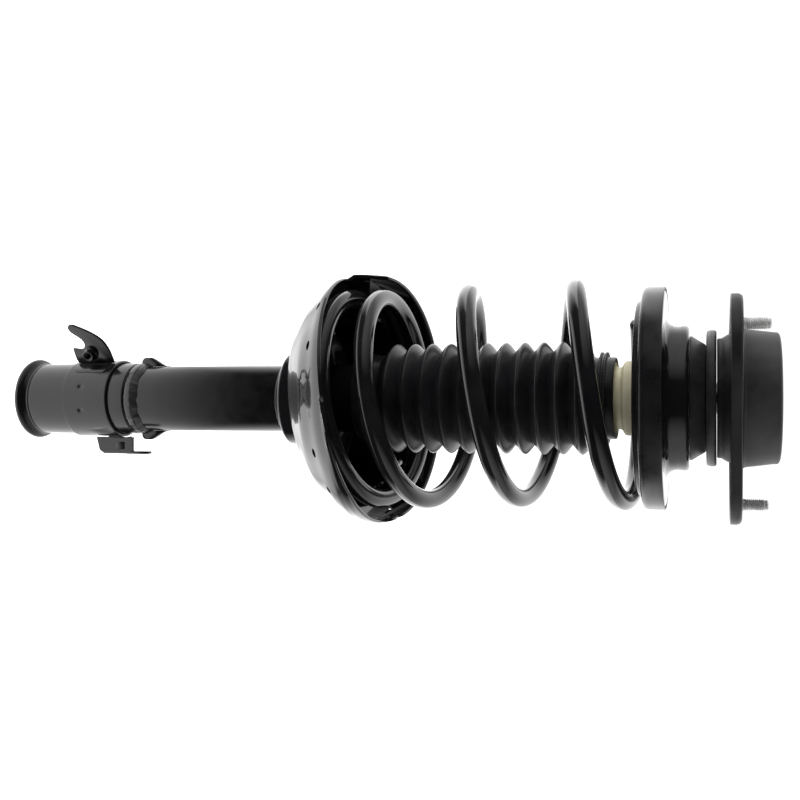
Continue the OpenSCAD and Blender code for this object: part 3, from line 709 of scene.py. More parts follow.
def make_harness_bracket():
    """A channel with a clip window and a tab at its outer upper corner."""
    low, high = node_box("harness_bracket")
    reach = high.x
    depth = high.y
    inner = low.x + 0.05
    top = -464.0
    wall = SHEET
    section = rounded([
        (inner, -depth), (reach, -depth), (reach, depth), (inner, depth), (inner, depth - wall),
        (reach - wall, depth - wall), (reach - wall, -depth + wall), (inner, -depth + wall)],
        [0.4, 3.2, 3.2, 0.4, 0.4, 1.6, 1.6, 0.4], steps=5)
    levels = [0, 0.25, 1, 3, 6, 10, 15, 21, 27, 31.5, 32.6, 33]
    loops = []
    for level in levels:
        z = low.z + level
        loop = []
        for x, y in section:
            lift = smoothstep(x, reach - 6, reach) * 6.0 * max(0.0, 1 - level / 20)
            lift -= 12.5 * smoothstep(y, -0.6 * depth, 0.7 * depth) * (level / levels[-1]) ** 2
            waist = 0.9 * hill(level, 22, 6) * smoothstep(x, inner + 6, inner)
            soft = 0.35 if level in (levels[0], levels[-1]) else 0.0
            loop.append(Vector((x + waist, y * (1 - soft / depth), z + lift)))
        loops.append(loop)
    channel = loft("channel", loops, closed=False)
    tab = slab("tab", rounded([
        (top - 6, 0.6), (high.z - 0.1, 0.6), (high.z - 0.1, depth - 1.2), (top + 3, depth - 0.1),
        (top - 6, depth - 0.1)], [0.5, 2.6, 2.6, 3.0, 0.5]), wall, edge=0.6)
    placed(tab, (reach - wall / 2 - 0.05, 0, 0), (0, 0, 1), (1, 0, 0))
    window = slab("window", rounded([(-3, -4), (3, -4), (3, 4), (-3, 4)], 1.0), 3 * depth, edge=0.05)
    placed(window, ((inner + reach) / 2, 0, top - 11), (1, 0, 0), (0, 1, 0))
    combined(channel, [window], "DIFFERENCE")
    obj = joined("harness_bracket_sheet", [channel, tab])
    return finished(obj, DAMPER, "bracket_paint", BRACKET_PAINT, "harness_bracket")


# ---- Lower spring seat ----

PAN_R = node_radius("lower_spring_seat")
PAN_SHEET = 2.6
HUB_R = TUBE_R + GAP
PAN_FLOOR = -320.0
PAN_SIDES = 240
WALL_POINTS = 56
LEDGE_FROM = 64.6
LEDGE_TO = 66.4
# Outer wall of the dish at the hose ear's side and at the harness bracket's side, hub to rim
WALL_AT_EAR = [(HUB_R, PAN_FLOOR), (36.0, PAN_FLOOR), (50.0, PAN_FLOOR), (64.6, -312.4), (73.0, -306.0),
               (78.8, -298.8), (84.3, -292.6), (89.3, -287.2), (92.0, -281.6)]
WALL_AT_HARNESS = [(HUB_R, -313.5), (36.0, -313.5), (49.0, -312.6), (58.5, -307.4), (67.0, -301.8),
                   (72.8, -295.8), (81.0, -285.0), (87.7, -277.2), (92.2, -269.8)]
COIL_R = 75.0
WIRE_R = 7.0
COIL_LEAN = 3.2
COIL_START = 175.0
COIL_END = 1575.0
COIL_LOW = -271.1
COIL_TOP = -65.3
COIL_TILT = 12.0
COIL_TILT_DIR = 50.0
COIL_CLIMB = 0.02
LIFT_CLIMB = 0.07
# Where the wire starts to climb faster or slower: from, over how many degrees, and by how much
COIL_BENDS = [(200.0, 200.0, LIFT_CLIMB), (560.0, 200.0, 0.11417), (1400.0, 120.0, -0.19917)]
LEDGE_GAP = 0.35


def rim_height(degrees):
    """Height of the dish's rim: low under the first coil, high on the far side, stepped between."""
    x_share = (1 + math.cos(math.radians(degrees))) / 2
    side = math.sin(math.radians(degrees))
    near = mix(-283.0, -255.0, x_share) + 2.0 * side
    far = mix(-254.0, -250.5, x_share) + 17.5 * max(side, 0.0) ** 0.8
    step = smoothstep(turn_from(degrees, 180.0), -1.6, 1.6)
    if math.cos(math.radians(degrees)) > 0:
        step = smoothstep(turn_from(degrees, 0.0), 1.6, -1.6)
    notch = 2.2 * hill(turn_from(degrees, 8.0), 0, 2.0)
    return mix(far, near, step) - notch


def coil_height(angle):
    """Height of the wire's middle at an angle that grows along the wire."""
    def corner(x, width):
        u = min(max(x / width, 0.0), 1.0)
        return width * (u**3 - u**4 / 2) + max(x - width, 0.0)

    tilt_share = min(max((1080.0 - angle) / 630.0, 0.0), 1.0)
    height = COIL_LOW + COIL_CLIMB * (angle - COIL_START)
    for start, width, change in COIL_BENDS:
        height += change * corner(angle - start, width)
    return height + COIL_TILT * tilt_share * math.cos(math.radians(angle - COIL_TILT_DIR))


def coil_point(angle):
    """Middle of the wire at an angle along it: the free coils lean towards the hose ear's side."""
    point = polar(COIL_R, angle, coil_height(angle))
    point.x -= COIL_LEAN * smoothstep(angle, 600.0, 1100.0)
    return point


def ledge_height(degrees):
    """Height of the ledge that the first coil lies on."""
    tilted = COIL_LOW + COIL_TILT * math.cos(math.radians(degrees - COIL_TILT_DIR))
    along = degrees - COIL_START if degrees >= COIL_START else degrees + (TURN - COIL_START)
    climb = COIL_CLIMB * along + LIFT_CLIMB * max(along - 110.0, 0.0) * 0.45
    return tilted + climb * smoothstep(along, 0, 20) - WIRE_R - LEDGE_GAP


def pan_wall(degrees):
    """The dish's outer wall at one direction, from the hub to the rim."""
    share = ((1 - math.cos(math.radians(degrees))) / 2) ** 2.4
    lift = max(0.0, -math.sin(math.radians(degrees)))
    controls = []
    for k, (a, b) in enumerate(zip(WALL_AT_HARNESS, WALL_AT_EAR)):
        point = Vector(a).lerp(Vector(b), share)
        point.y += 3.2 * lift * hill(k, 3.6, 1.4)
        controls.append(point)
    line = smooth_line(controls, 5)
    top = rim_height(degrees) - 1.2
    if line[-1].y < top:
        shoulder = line[-1]
        rise = top - shoulder.y
        crown = 1.6 * smoothstep(rise, 8.0, 24.0)
        line.append(Vector((mix(shoulder.x, PAN_R, 0.6), shoulder.y + min(5.0, 0.4 * rise))))
        line.append(Vector((PAN_R, shoulder.y + 0.55 * rise)))
        line.append(Vector((PAN_R - crown, top)))
        return line[:-3] + smooth_line(line[-4:], 6)[1:]
    kept = [p for p in line if p.y < top]
    above = line[len(kept)]
    last = kept[-1]
    kept.append(last.lerp(above, (top - last.y) / (above.y - last.y)))
    return kept


def make_pan():
    """The lower spring seat: a deep dish with a ledge for the coil and drain holes."""
    directions = []
    for i in range(PAN_SIDES):
        directions.append(TURN * i / PAN_SIDES)
    for centre in (0.0, 180.0):
        directions += [(centre + off) % TURN for off in (-1.9, -1.2, -0.8, -0.4, 0.4, 0.8, 1.2, 1.9)]
    directions = sorted(set(directions))
    loops = []
    for degrees in directions:
        outer = even_line(pan_wall(degrees), WALL_POINTS)
        normals = []
        for k, p in enumerate(outer):
            run = outer[min(k + 1, len(outer) - 1)] - outer[max(k - 1, 0)]
            normals.append(Vector((-run.y, run.x)).normalized())
        inner = [p + n * PAN_SHEET for p, n in zip(outer, normals)]
        inner = [Vector((max(p.x, HUB_R), p.y)) for p in inner]
        ledge = ledge_height(degrees)
        stepped = []
        for p in inner:
            raise_share = smoothstep(p.x, LEDGE_FROM, LEDGE_TO)
            stepped.append(Vector((p.x, max(p.y, mix(p.y, ledge, raise_share)))))
        top = outer[-1] + normals[-1] * PAN_SHEET / 2 + Vector((0, 1.1))
        edge = [outer[-1].lerp(top, 0.55) + Vector((0.25, 0.25)), top,
                stepped[-1].lerp(top, 0.55) + Vector((-0.25, 0.25))]
        section = outer + edge + stepped[::-1]
        loops.append([polar(min(p.x, PAN_R), degrees, p.y) for p in section])
    obj = loft("lower_spring_seat_dish", loops)
    cutters = []
    for degrees, height, width in PAN_HOLES:
        hole = slab("hole", [(width * math.cos(t * math.pi / 12), 2.1 * math.sin(t * math.pi / 12))
                             for t in range(24)], 9.0, edge=0.01)
        centre = polar(hole_radius(degrees, height), degrees, height)
        out = Vector((centre.x, centre.y, -0.35 * PAN_R)).normalized()
        cutters.append(placed(hole, centre, polar(1, degrees + 90, 0), out))
    combined(obj, [joined("holes", cutters)], "DIFFERENCE")
    return finished(obj, DAMPER, "seat_gloss", SEAT_GLOSS, "lower_spring_seat")


# Direction, height and half width of each drain hole
PAN_HOLES = [(54.2, -249.3, 3.2), (130.5, -265.8, 3.2), (92.0, -252.0, 3.2), (221.0, -287.0, 3.6),
             (243.7, -288.0, 3.6), (297.6, -284.0, 3.6), (319.0, -279.4, 3.6), (20.0, -262.0, 3.2)]


def hole_radius(degrees, height):
    """Radius of the dish's outer wall at one direction and height."""
    line = pan_wall(degrees)
    for a, b in zip(line, line[1:]):
        if a.y <= height <= b.y:
            return mix(a.x, b.x, (height - a.y) / max(b.y - a.y, 1e-6))
    return PAN_R


def make_collar():
    """The collar that carries the dish on the tube, with a rolled lip under it."""
    low, high, outer = round_node("seat_collar")
    outline = rounded([
        (TUBE_R + GAP, low), (TUBE_R + 2.5, low + 0.3), (outer - 2.0, low + 1.6), (outer, low + 3.4),
        (outer, high - 0.4), (outer - 0.6, high), (TUBE_R + GAP, high)],
        [0.2, 1.0, 2.0, 2.0, 0.4, 0.4, 0.2])

    def up_to_floor(radius, height, degrees):
        share = smoothstep(height, low + 5.0, high)
        return radius, height + share * (pan_wall(degrees)[0].y - PAN_FLOOR)

    obj = lathe("seat_collar_ring", divided(outline, 2.0), shape=up_to_floor)
    return finished(obj, DAMPER, "seat_gloss", SEAT_GLOSS, "seat_collar")


# ---- Coil spring ----

SEAM = 475.0
RING_STEP = 3.0
WIRE_SIDES = 28


def wire_ring(angle, radius):
    """One ring of points round the wire."""
    centre = coil_point(angle)
    ahead = coil_point(angle + 0.5)
    behind = coil_point(angle - 0.5)
    along = (ahead - behind).normalized()
    out = polar(1, angle, 0)
    up = along.cross(out).normalized()
    out = up.cross(along).normalized()
    ring = []
    for k in range(WIRE_SIDES):
        turn = 2 * math.pi * k / WIRE_SIDES
        ring.append(centre + (out * math.cos(turn) + up * math.sin(turn)) * radius)
    return ring


def wire_length(name, start, end, cap_start, cap_end):
    """A length of the coil's wire, with its cut ends softened where they show."""
    count = round((end - start) / RING_STEP)
    step = (end - start) / count
    stations = [(start + i * step, WIRE_R) for i in range(count + 1)]
    soft = [(0.0, WIRE_R - 1.1), (0.16, WIRE_R - 0.55), (0.45, WIRE_R - 0.15), (0.9, WIRE_R)]
    if cap_start:
        stations = [(start + off, r) for off, r in soft] + stations[1:]
    if cap_end:
        stations = stations[:-1] + [(end - off, r) for off, r in soft[::-1]]
    return loft(name, [wire_ring(angle, r) for angle, r in stations], closed=False)


def make_spring():
    """The spring as two pieces: the seated coil follows the dish and goes with the damper body, and the
    free coils go with the spring seat.
    """
    seated = wire_length("spring_seated_coil", COIL_START, SEAM + 0.4, True, False)
    free = wire_length("spring_free_coils", SEAM, COIL_END, False, True)
    finished(seated, DAMPER, "spring_coating", SPRING_COAT, "coil_spring")
    finished(free, SEAT, "spring_coating", SPRING_COAT, "coil_spring")
    keep = 1 - STROKE / (COIL_TOP - coil_height(SEAM))
    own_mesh(free)


# ---- Boot and bump stop ----

CREST_SOFT = 0.22


def make_boot():
    """The bellows: round ridges, tight valleys, a plain cuff at the top and a plain skirt below."""
    ridge = node_radius("boot")
    valley = 33.0
    pitch = 13.7
    first = -107.5
    ridges = 11
    wall = 1.5
    bottom, top = node_heights("boot")
    cuff = 29.0
    skirt = 32.0
    steps = 18
    whole_fall = math.hypot(1, CREST_SOFT) - CREST_SOFT
    outer = [(cuff - 0.4, top), (cuff, top - 0.6), (cuff, first + pitch * 0.72),
             (cuff + 0.8, first + pitch * 0.58)]
    for i in range(ridges):
        for k in range(steps):
            share = k / steps - 0.5
            height = first - (i + share) * pitch
            off = 2 * abs(share)
            fall = (math.hypot(off, CREST_SOFT) - CREST_SOFT) / whole_fall
            outer.append((mix(ridge, valley, fall), height))
    low_z = outer[-1][1]
    lip = bottom + 11.0
    outer += [(skirt, low_z - 2.0), (skirt, lip + 1.5), (skirt + 1.0, lip), (skirt + 1.0, bottom + 1.6),
              (skirt + 0.4, bottom + 0.5), (skirt - 0.5, bottom)]
    outline = [Vector(p) for p in outer]
    inner = [Vector((max(p.x - wall, cuff - 2.5), p.y)) for p in outline]
    inner[0] = Vector((cuff - 2.5, top))
    obj = lathe("boot_bellows", outline + inner[::-1], segments=120)
    finished(obj, SEAT, "boot_plastic", BOOT_PLASTIC, "boot")
    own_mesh(obj)


def make_tie():
    """The ribbed tie round the boot's cuff."""
    low, high, outer = round_node("boot_tie")
    inner = 29.1
    outline = rounded([
        (inner, low), (outer - 0.5, low), (outer - 0.5, low + 1.5), (outer - 1.3, low + 1.9),
        (outer - 1.3, high - 1.9), (outer - 0.5, high - 1.5), (outer - 0.5, high), (inner, high)], 0.4)

    def ribbed(radius, height, degrees):
        if radius > outer - 1.0:
            radius += 0.3 * max(0.0, math.sin(math.radians(degrees * 72)))
        return min(radius, outer), height

    ring = lathe("tie_ring", divided(outline, 1.0), segments=576, shape=ribbed)
    return finished(ring, SEAT, "boot_plastic", TIE_PLASTIC, "boot_tie")


def make_bump_stop():
    """The foam bump stop: two waists, and a collar and neck where it shows above the boot."""
    low, high, outer = round_node("bump_stop")
    inner = 11.5
    neck = 21.8
    waist = 3.5
    cuff_z = -84.0
    outline = rounded([
        (inner, low), (inner + 5, low), (neck - 1, low + 6), (neck, low + 11), (neck - waist, low + 15),
        (neck, low + 19), (neck, low + 24), (neck - waist, low + 28), (outer, cuff_z - 18),
        (outer, cuff_z - 0.3), (neck + 0.6, cuff_z + 0.2), (neck, cuff_z + 2.4), (neck + 0.4, cuff_z + 4.2),
        (outer - 0.4, cuff_z + 6.2), (outer, cuff_z + 7.5), (outer, high), (inner, high)],
        [1, 2, 3, 3, 3, 3, 3, 3, 3, 0.8, 1, 1, 1, 1.4, 1, 0.5, 0.5])

    def hand_cut(radius, height, degrees):
        if radius < inner + 1:
            return radius, height
        swell = 0.12 * noise.noise(polar(1.6, degrees, height * 0.12))
        return min(radius + swell, outer), height

    obj = lathe("bump_stop_foam", divided(outline, 2.0), shape=hand_cut)
    finished(obj, SEAT, "bump_foam", BUMP_FOAM, "bump_stop")


# ---- Upper spring seat, isolator and bearing ----

def make_isolator():
    """The rubber isolator under the upper seat, with a lip inside the last coil."""
    low, high, outer = round_node("upper_isolator")
    inner = COIL_R - 14
    pan = 76.0
    face = -65.0
    shelf = face + 6.4
    lip = COIL_R - WIRE_R - 0.4
    outline = rounded([
        (inner, low), (lip, low), (lip, face), (outer, face), (outer, high), (pan + GAP, high),
        (pan + GAP, shelf), (inner, shelf)], [0.9, 1.6, 1.2, 5.5, 1.0, 0.4, 0.3, 0.3], 8)
    obj = lathe("upper_isolator_ring", divided(outline, 4.0))
    return finished(obj, SEAT, "isolator_rubber", ISOLATOR_RUBBER, "upper_isolator")


def make_upper_seat():
    """The pressed upper spring seat: a broad flange, a deep groove and a raised crown."""
    low, high, outer = round_node("upper_spring_seat")
    crown = 50.0
    sheet = PAN_SHEET
    hole = 13.0
    flange = low + 8.6
    outline = rounded([
        (outer, low), (outer, flange), (crown + 4.5, flange), (crown + 0.8, flange + 3.0),
        (crown + 0.2, high), (crown - 8.0, high), (crown - 10.0, high - 0.6), (hole, high - 0.6),
        (hole, high - sheet), (crown - sheet - 2.0, high - sheet), (crown - sheet, high - sheet - 2.2),
        (crown - sheet, flange + 2.0), (crown + 2.0, flange - sheet),
        (outer - sheet - 2.0, flange - sheet), (outer - sheet, low + 3.0),
        (outer - sheet, low + 0.1), (COIL_R - 13, low + 0.1), (COIL_R - 13, low)],
        [0.4, 4.0, 3.0, 2.5, 5.5, 1.0, 1.0, 0.6, 0.6, 2, 2, 2.5, 2, 1.5, 1.0, 0.02, 0.02, 0.02], 8)
    obj = lathe("upper_seat_pressing", divided(outline, 3.5), segments=192)
    return finished(obj, SEAT, "seat_gloss", SEAT_GLOSS, "upper_spring_seat")


RACE_SPLIT = -21.5
BALL_CIRCLE = 33.0
GROOVE_R = 2.6
GROOVE_EDGE = 2.7
LOWER_FACE = -23.4
UPPER_FACE = -20.9


def groove(low_side):
    """Points of the ball groove, from the outside in for the lower race, or out for the upper."""
    points = []
    for k in range(9):
        turn = math.pi * k / 8
        z = RACE_SPLIT + (-1 if low_side else 1) * GROOVE_R * math.sin(turn)
        x = BALL_CIRCLE + (1 if low_side else -1) * GROOVE_R * math.cos(turn)
        points.append(Vector((x, z)))
    return points


def make_bearing():
    """Both moulded races of the strut bearing. The balls stay as they are in the frame."""
    bottom = node_heights("bearing_lower_race")[0]
    lower = rounded([
        (14.0, bottom), (42.6, bottom), (43.0, bottom + 0.8), (37.0, -23.9), (36.0, LOWER_FACE),
        (BALL_CIRCLE + GROOVE_EDGE, LOWER_FACE)], 0.7) + groove(True)[3:6] + rounded([
            (BALL_CIRCLE - GROOVE_EDGE, LOWER_FACE), (27.2, LOWER_FACE), (14.0, bottom + 4.0)], 0.5)
    finished(lathe("bearing_lower_shell", divided(lower, 4.0)), SEAT, "bearing_plastic",
             BEARING_PLASTIC, "bearing_lower_race")
    low, high, outer = round_node("bearing_upper_race")
    upper = rounded([
        (23.0, high), (outer - 0.9, high), (outer, high - 1.2), (outer, low + 2.4),
        (outer - 0.7, low + 0.4), (outer - 3.2, low), (outer - 4.6, low + 0.7), (outer - 5.2, UPPER_FACE),
        (BALL_CIRCLE + GROOVE_EDGE, UPPER_FACE)], 0.6) + groove(False)[::-1][3:6] + rounded([
            (BALL_CIRCLE - GROOVE_EDGE, UPPER_FACE), (23.0, UPPER_FACE)], 0.4)
    finished(lathe("bearing_upper_shell", divided(upper, 4.0)), MOUNT, "bearing_plastic",
             BEARING_PLASTIC, "bearing_upper_race")


# ---- Top mount ----

STUD_CIRCLE = 72.5
STUD_DIR = -10.5
STUD_R = 4.0
LOBE_OUT = 52.0
LOBE_R = 34.0
PLATE_T = 3.0
PLATE_RIM = 8.0
CORE_BORE = 7.1
CUP_BASE_R = node_radius("mount_cup")
CUP_TOP = node_heights("mount_cup")[1]


def plate_radius(degrees, inset):
    """Distance of the plate's outline from the axis: three round lobes with straight flanks."""
    off = abs(turn_from(degrees, STUD_DIR)) % 120.0
    off = min(off, 120.0 - off)
    lobe = LOBE_R - inset
    flank = LOBE_OUT * math.cos(math.radians(60)) + lobe
    a = math.radians(off)
    under_root = lobe**2 - (LOBE_OUT * math.sin(a)) ** 2
    on_lobe = LOBE_OUT * math.cos(a) + math.sqrt(max(under_root, 0.0))
    on_flank = flank / math.cos(math.radians(60 - off))
    return on_flank if off > lobe_limit(lobe) else on_lobe


def lobe_limit(lobe):
    """The angle at which a lobe's round runs into the straight flank."""
    flank = math.radians(60)
    tangent = Vector((LOBE_OUT + lobe * math.cos(flank), lobe * math.sin(flank)))
    return math.degrees(math.atan2(tangent.y, tangent.x))


def make_plate():
    """The mount plate: a three-lobed pressing with a folded rim and a raised seat at each stud."""
    inner = CUP_BASE_R - 3.9
    rows = 10
    loops = []
    for i in range(288):
        degrees = TURN * i / 288
        edge = plate_radius(degrees, 0)
        near_stud = hill(abs(turn_from(degrees * 3, STUD_DIR * 3)) / 3, 0, 8.5)
        top = [Vector((mix(inner, edge - 4.5, k / rows), 0.0)) for k in range(rows + 1)]
        section = [Vector((inner, -PLATE_T + 0.4)), Vector((inner, -0.5)), Vector((inner + 0.5, -0.05))]
        section += top[1:]
        section += [Vector((edge - 3.0, -0.15)), Vector((edge - 1.5, -0.8)), Vector((edge - 0.5, -2.0)),
                    Vector((edge, -3.6)), Vector((edge, -PLATE_RIM + 0.5)),
                    Vector((edge - 0.5, -PLATE_RIM)), Vector((edge - 1.9, -PLATE_RIM)),
                    Vector((edge - 2.4, -PLATE_RIM + 0.5)), Vector((edge - 2.4, -4.8)),
                    Vector((edge - 3.2, -PLATE_T - 0.5)), Vector((edge - 4.6, -PLATE_T))]
        section += [Vector((p.x, -PLATE_T)) for p in top[1:-1][::-1]]
        lowered = []
        for p in section:
            ring = hill(p.x, STUD_CIRCLE, 7.0) * near_stud
            dish = 0.5 * (1 - ring) * smoothstep(p.x, CUP_BASE_R + 2, CUP_BASE_R + 6)
            lowered.append(Vector((p.x, p.y - dish * smoothstep(edge - p.x, 1.0, 6.0))))
        loops.append([polar(p.x, degrees, p.y) for p in lowered])
    obj = loft("mount_plate_pressing", loops)
    return finished(obj, MOUNT, "mount_paint", MOUNT_PAINT, "mount_plate")


def thread_outline(r, low, high, pitch, depth):
    """The side of a threaded shank as radius and height, with a root and a crest for each turn."""
    points = []
    turns = int((high - low) / pitch)
    for k in range(turns):
        z = low + k * pitch
        points += [Vector((r - depth, z + 0.1 * pitch)), Vector((r, z + 0.42 * pitch)),
                   Vector((r, z + 0.58 * pitch)), Vector((r - depth, z + 0.9 * pitch))]
    return points


def make_studs():
    """Three press-in studs with rolled threads, a chamfered tip and a round head under the plate."""
    low, high = node_heights("mount_studs")
    pitch = 1.25
    studs = []
    head = 6.5
    bottom = -PLATE_T - GAP
    for i in range(3):
        shank = [Vector((0.0, low)), Vector((head - 0.7, low)), Vector((head, low + 0.7)),
                 Vector((head, bottom)), Vector((STUD_R + 0.3, bottom)), Vector((STUD_R + 0.3, -0.1)),
                 Vector((STUD_R, 0.3)), Vector((STUD_R, 1.4))]
        shank += thread_outline(STUD_R, 1.6, high - 1.3, pitch, 0.62)
        shank += [Vector((STUD_R - 0.5, high - 0.9)), Vector((STUD_R - 1.2, high - 0.1)),
                  Vector((STUD_R - 1.6, high)), Vector((0.0, high))]
        stud = lathe(f"stud_{i}", shank, segments=40)
        place = polar(STUD_CIRCLE, STUD_DIR + 120 * i, 0)
        studs.append(move_points(stud, lambda p, place=place: p + place))
    return finished(joined("mount_stud_set", studs), MOUNT, "stud_zinc", ZINC, "mount_studs")


def make_cup():
    """The mount's cup: a tapered shell with a rounded top edge and a turned-in lip."""
    wall = 2.6
    top_r = 43.5
    hole = 20.0
    outline = rounded([
        (CUP_BASE_R, GAP), (CUP_BASE_R - 0.7, 2.0), (top_r + 1.6, CUP_TOP - 6.5),
        (top_r + 0.9, CUP_TOP - 1.2), (top_r - 1.6, CUP_TOP - 0.1), (top_r - 8.0, CUP_TOP),
        (hole + 4.0, CUP_TOP), (hole, CUP_TOP - 0.5), (hole, CUP_TOP - wall),
        (top_r - wall - 3.0, CUP_TOP - wall), (top_r - wall - 0.6, CUP_TOP - wall - 2.0),
        (CUP_BASE_R - wall - 0.6, GAP)], [0.4, 3, 4, 1.5, 1.5, 3, 1.5, 0.8, 0.8, 2, 2, 0.3])

    def drawn(radius, height, degrees):
        """Shallow waves from the deep drawing."""
        if height > CUP_TOP - 4 or radius < top_r - 1 or height < 1.5:
            return radius, height
        wave = 0.12 * math.sin(math.radians(degrees * 6)) + 0.12 * noise.noise(
            polar(2.0, degrees, height * 0.08))
        return min(radius - 0.15 + wave, CUP_BASE_R), height

    obj = lathe("mount_cup_shell", divided(outline, 2.5), segments=192, shape=drawn)
    return finished(obj, MOUNT, "cup_coating", CUP_COATING, "mount_cup")


def make_mount_rubber():
    """The rubber between the cup and the core, with moulded ribs round its open face."""
    core = 18.1
    inside = CUP_BASE_R - 4.1
    outline = rounded([
        (core, -12.0), (27.0, -12.4), (34.0, -14.6), (40.2, -16.4), (41.0, -15.6), (41.0, -13.5),
        (inside, -9.0), (inside, -1.0), (39.5, CUP_TOP - 5.0), (core + 14, CUP_TOP - 7.0),
        (core + 8, 7.6), (core + 3, 7.0), (core, 9.0)], 1.6)

    def ribbed(radius, height, degrees):
        if height > 5.0 and radius < core + 13:
            height += 0.7 * math.cos(math.radians(degrees * 12)) * hill(radius, core + 6, 4)
        return radius, height

    obj = lathe("mount_rubber_body", divided(outline, 2.5), shape=ribbed)
    return finished(obj, MOUNT, "seal_rubber", SEAL_RUBBER, "mount_rubber")


def make_core():
    low, high, outer = round_node("mount_core")
    inner = CORE_BORE
    outline = rounded([
        (inner, low), (outer - 0.8, low), (outer, low + 0.8), (outer, high - 1.0),
        (outer - 1.0, high), (inner + 0.5, high), (inner, high - 0.5)], 0.6)
    return finished(lathe("mount_core_sleeve", divided(outline, 4.0)), MOUNT, "inner_steel",
                    INNER_STEEL, "mount_core")


def make_washer():
    low, high, outer = round_node("rod_washer")
    outline = rounded([(CORE_BORE, low), (outer, low), (outer, high), (CORE_BORE, high)], 0.5)
    return finished(lathe("rod_washer_disc", outline), MOUNT, "stud_zinc", ZINC, "rod_washer")


def make_nut():
    """The rod's hexagon nut, with its corners turned back to a cone at the top."""
    low, high = node_heights("rod_nut")
    corner = node_radius("rod_nut")
    flat = corner * math.cos(math.radians(30))
    bore = CORE_BORE

    def hexagon(radius, height, degrees):
        if radius < flat - 1.5:
            return radius, height
        off = abs((degrees + 30) % 60 - 30)
        limit = flat / math.cos(math.radians(30 - off))
        return min(radius, limit), height

    outline = [(bore + 0.6, low), (flat - 0.4, low), (corner, low + 0.9), (corner, high - 1.5),
               (flat - 0.6, high), (bore + 0.8, high), (bore, high - 0.8), (bore, low + 0.6)]
    obj = lathe("rod_nut_hex", divided(rounded(outline, 0.25), 1.2), segments=180, shape=hexagon)
    return finished(obj, MOUNT, "stud_zinc", ZINC, "rod_nut")


def make_rod():
    """The piston rod: chromed, with a threaded top end and a round socket in it."""
    low, high = node_heights("piston_rod")
    r = node_radius("piston_rod")
    thread_r = 7.0
    shoulder = -13.0
    piston_top = -284.0
    spigot = 6.0
    shank_top = 14.2
    thread_from = 14.6
    side = [Vector((0.0, low)), Vector((spigot - 0.6, low)), Vector((spigot, low + 0.6)),
            Vector((spigot, piston_top)), Vector((r - 0.6, piston_top)), Vector((r, piston_top + 0.6)),
            Vector((r, shoulder - 1.0)), Vector((r - 1.0, shoulder)), Vector((thread_r, shoulder)),
            Vector((thread_r, shank_top))]
    side += thread_outline(thread_r, thread_from, high - 1.4, 1.5, 0.7)
    side += [Vector((thread_r - 0.4, high - 0.9)), Vector((thread_r - 1.3, high)),
             Vector((3.2, high)), Vector((2.9, high - 0.4)), Vector((2.9, high - 5.0)),
             Vector((0.0, high - 5.6))]
    obj = lathe("piston_rod_bar", divided(side, 40.0), segments=72)
    return finished(obj, MOUNT, "rod_chrome", CHROME, "piston_rod")


# ---- Materials of the CAD nodes that stay as they are ----

KEPT_NODES = {
    "pressure_tube": INNER_STEEL,
    "base_cap": TUBE_PAINT,
    "base_valve": INNER_STEEL,
    "rod_guide": INNER_STEEL,
    "oil_seal": SEAL_RUBBER,
    "bearing_balls": BALL_STEEL,
    "rebound_stop": SEAL_RUBBER,
    "piston": INNER_STEEL,
    "piston_band": PTFE,
    "piston_nut": INNER_STEEL,
}


def dress_kept_nodes():
    for name, material in KEPT_NODES.items():
        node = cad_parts[name]
        for place in node.material_slots:
            place.material = material


# ---- Camera, floor and light ----

LENS = 47.3
SENSOR = 36.0
CAMERA_TILT = 16.76
CAMERA_PLACE = (1.2, -753.5, -16.6)


def make_camera():
    """The camera lies on its side, so that the strut runs across the picture with its top right."""
    data = bpy.data.cameras.new("camera")
    data.lens = LENS
    data.sensor_width = SENSOR
    camera = bpy.data.objects.new("camera", data)
    bpy.context.scene.collection.objects.link(camera)
    pitch = math.radians(CAMERA_TILT)
    right = Vector((0, math.sin(pitch), math.cos(pitch)))
    up = Vector((-1, 0, 0))
    back = Vector((0, -math.cos(pitch), math.sin(pitch)))
    turn = Matrix((right, up, back)).transposed().to_4x4()
    camera.matrix_world = Matrix.Translation(Vector(CAMERA_PLACE) * MM) @ turn
    bpy.context.scene.camera = camera


FLOOR_DROP = 45.0


def seen_and_cast(nodes, links, seen, cast, output):
    """Shows one shader to the camera's own rays, and lights the strut with the other."""
    path = nodes.new("ShaderNodeLightPath")
    choose = nodes.new("ShaderNodeMixShader")
    links.new(path.outputs["Is Camera Ray"], choose.inputs["Fac"])
    links.new(cast, choose.inputs[1])
    links.new(seen, choose.inputs[2])
    links.new(choose.outputs["Shader"], output.inputs["Surface"])


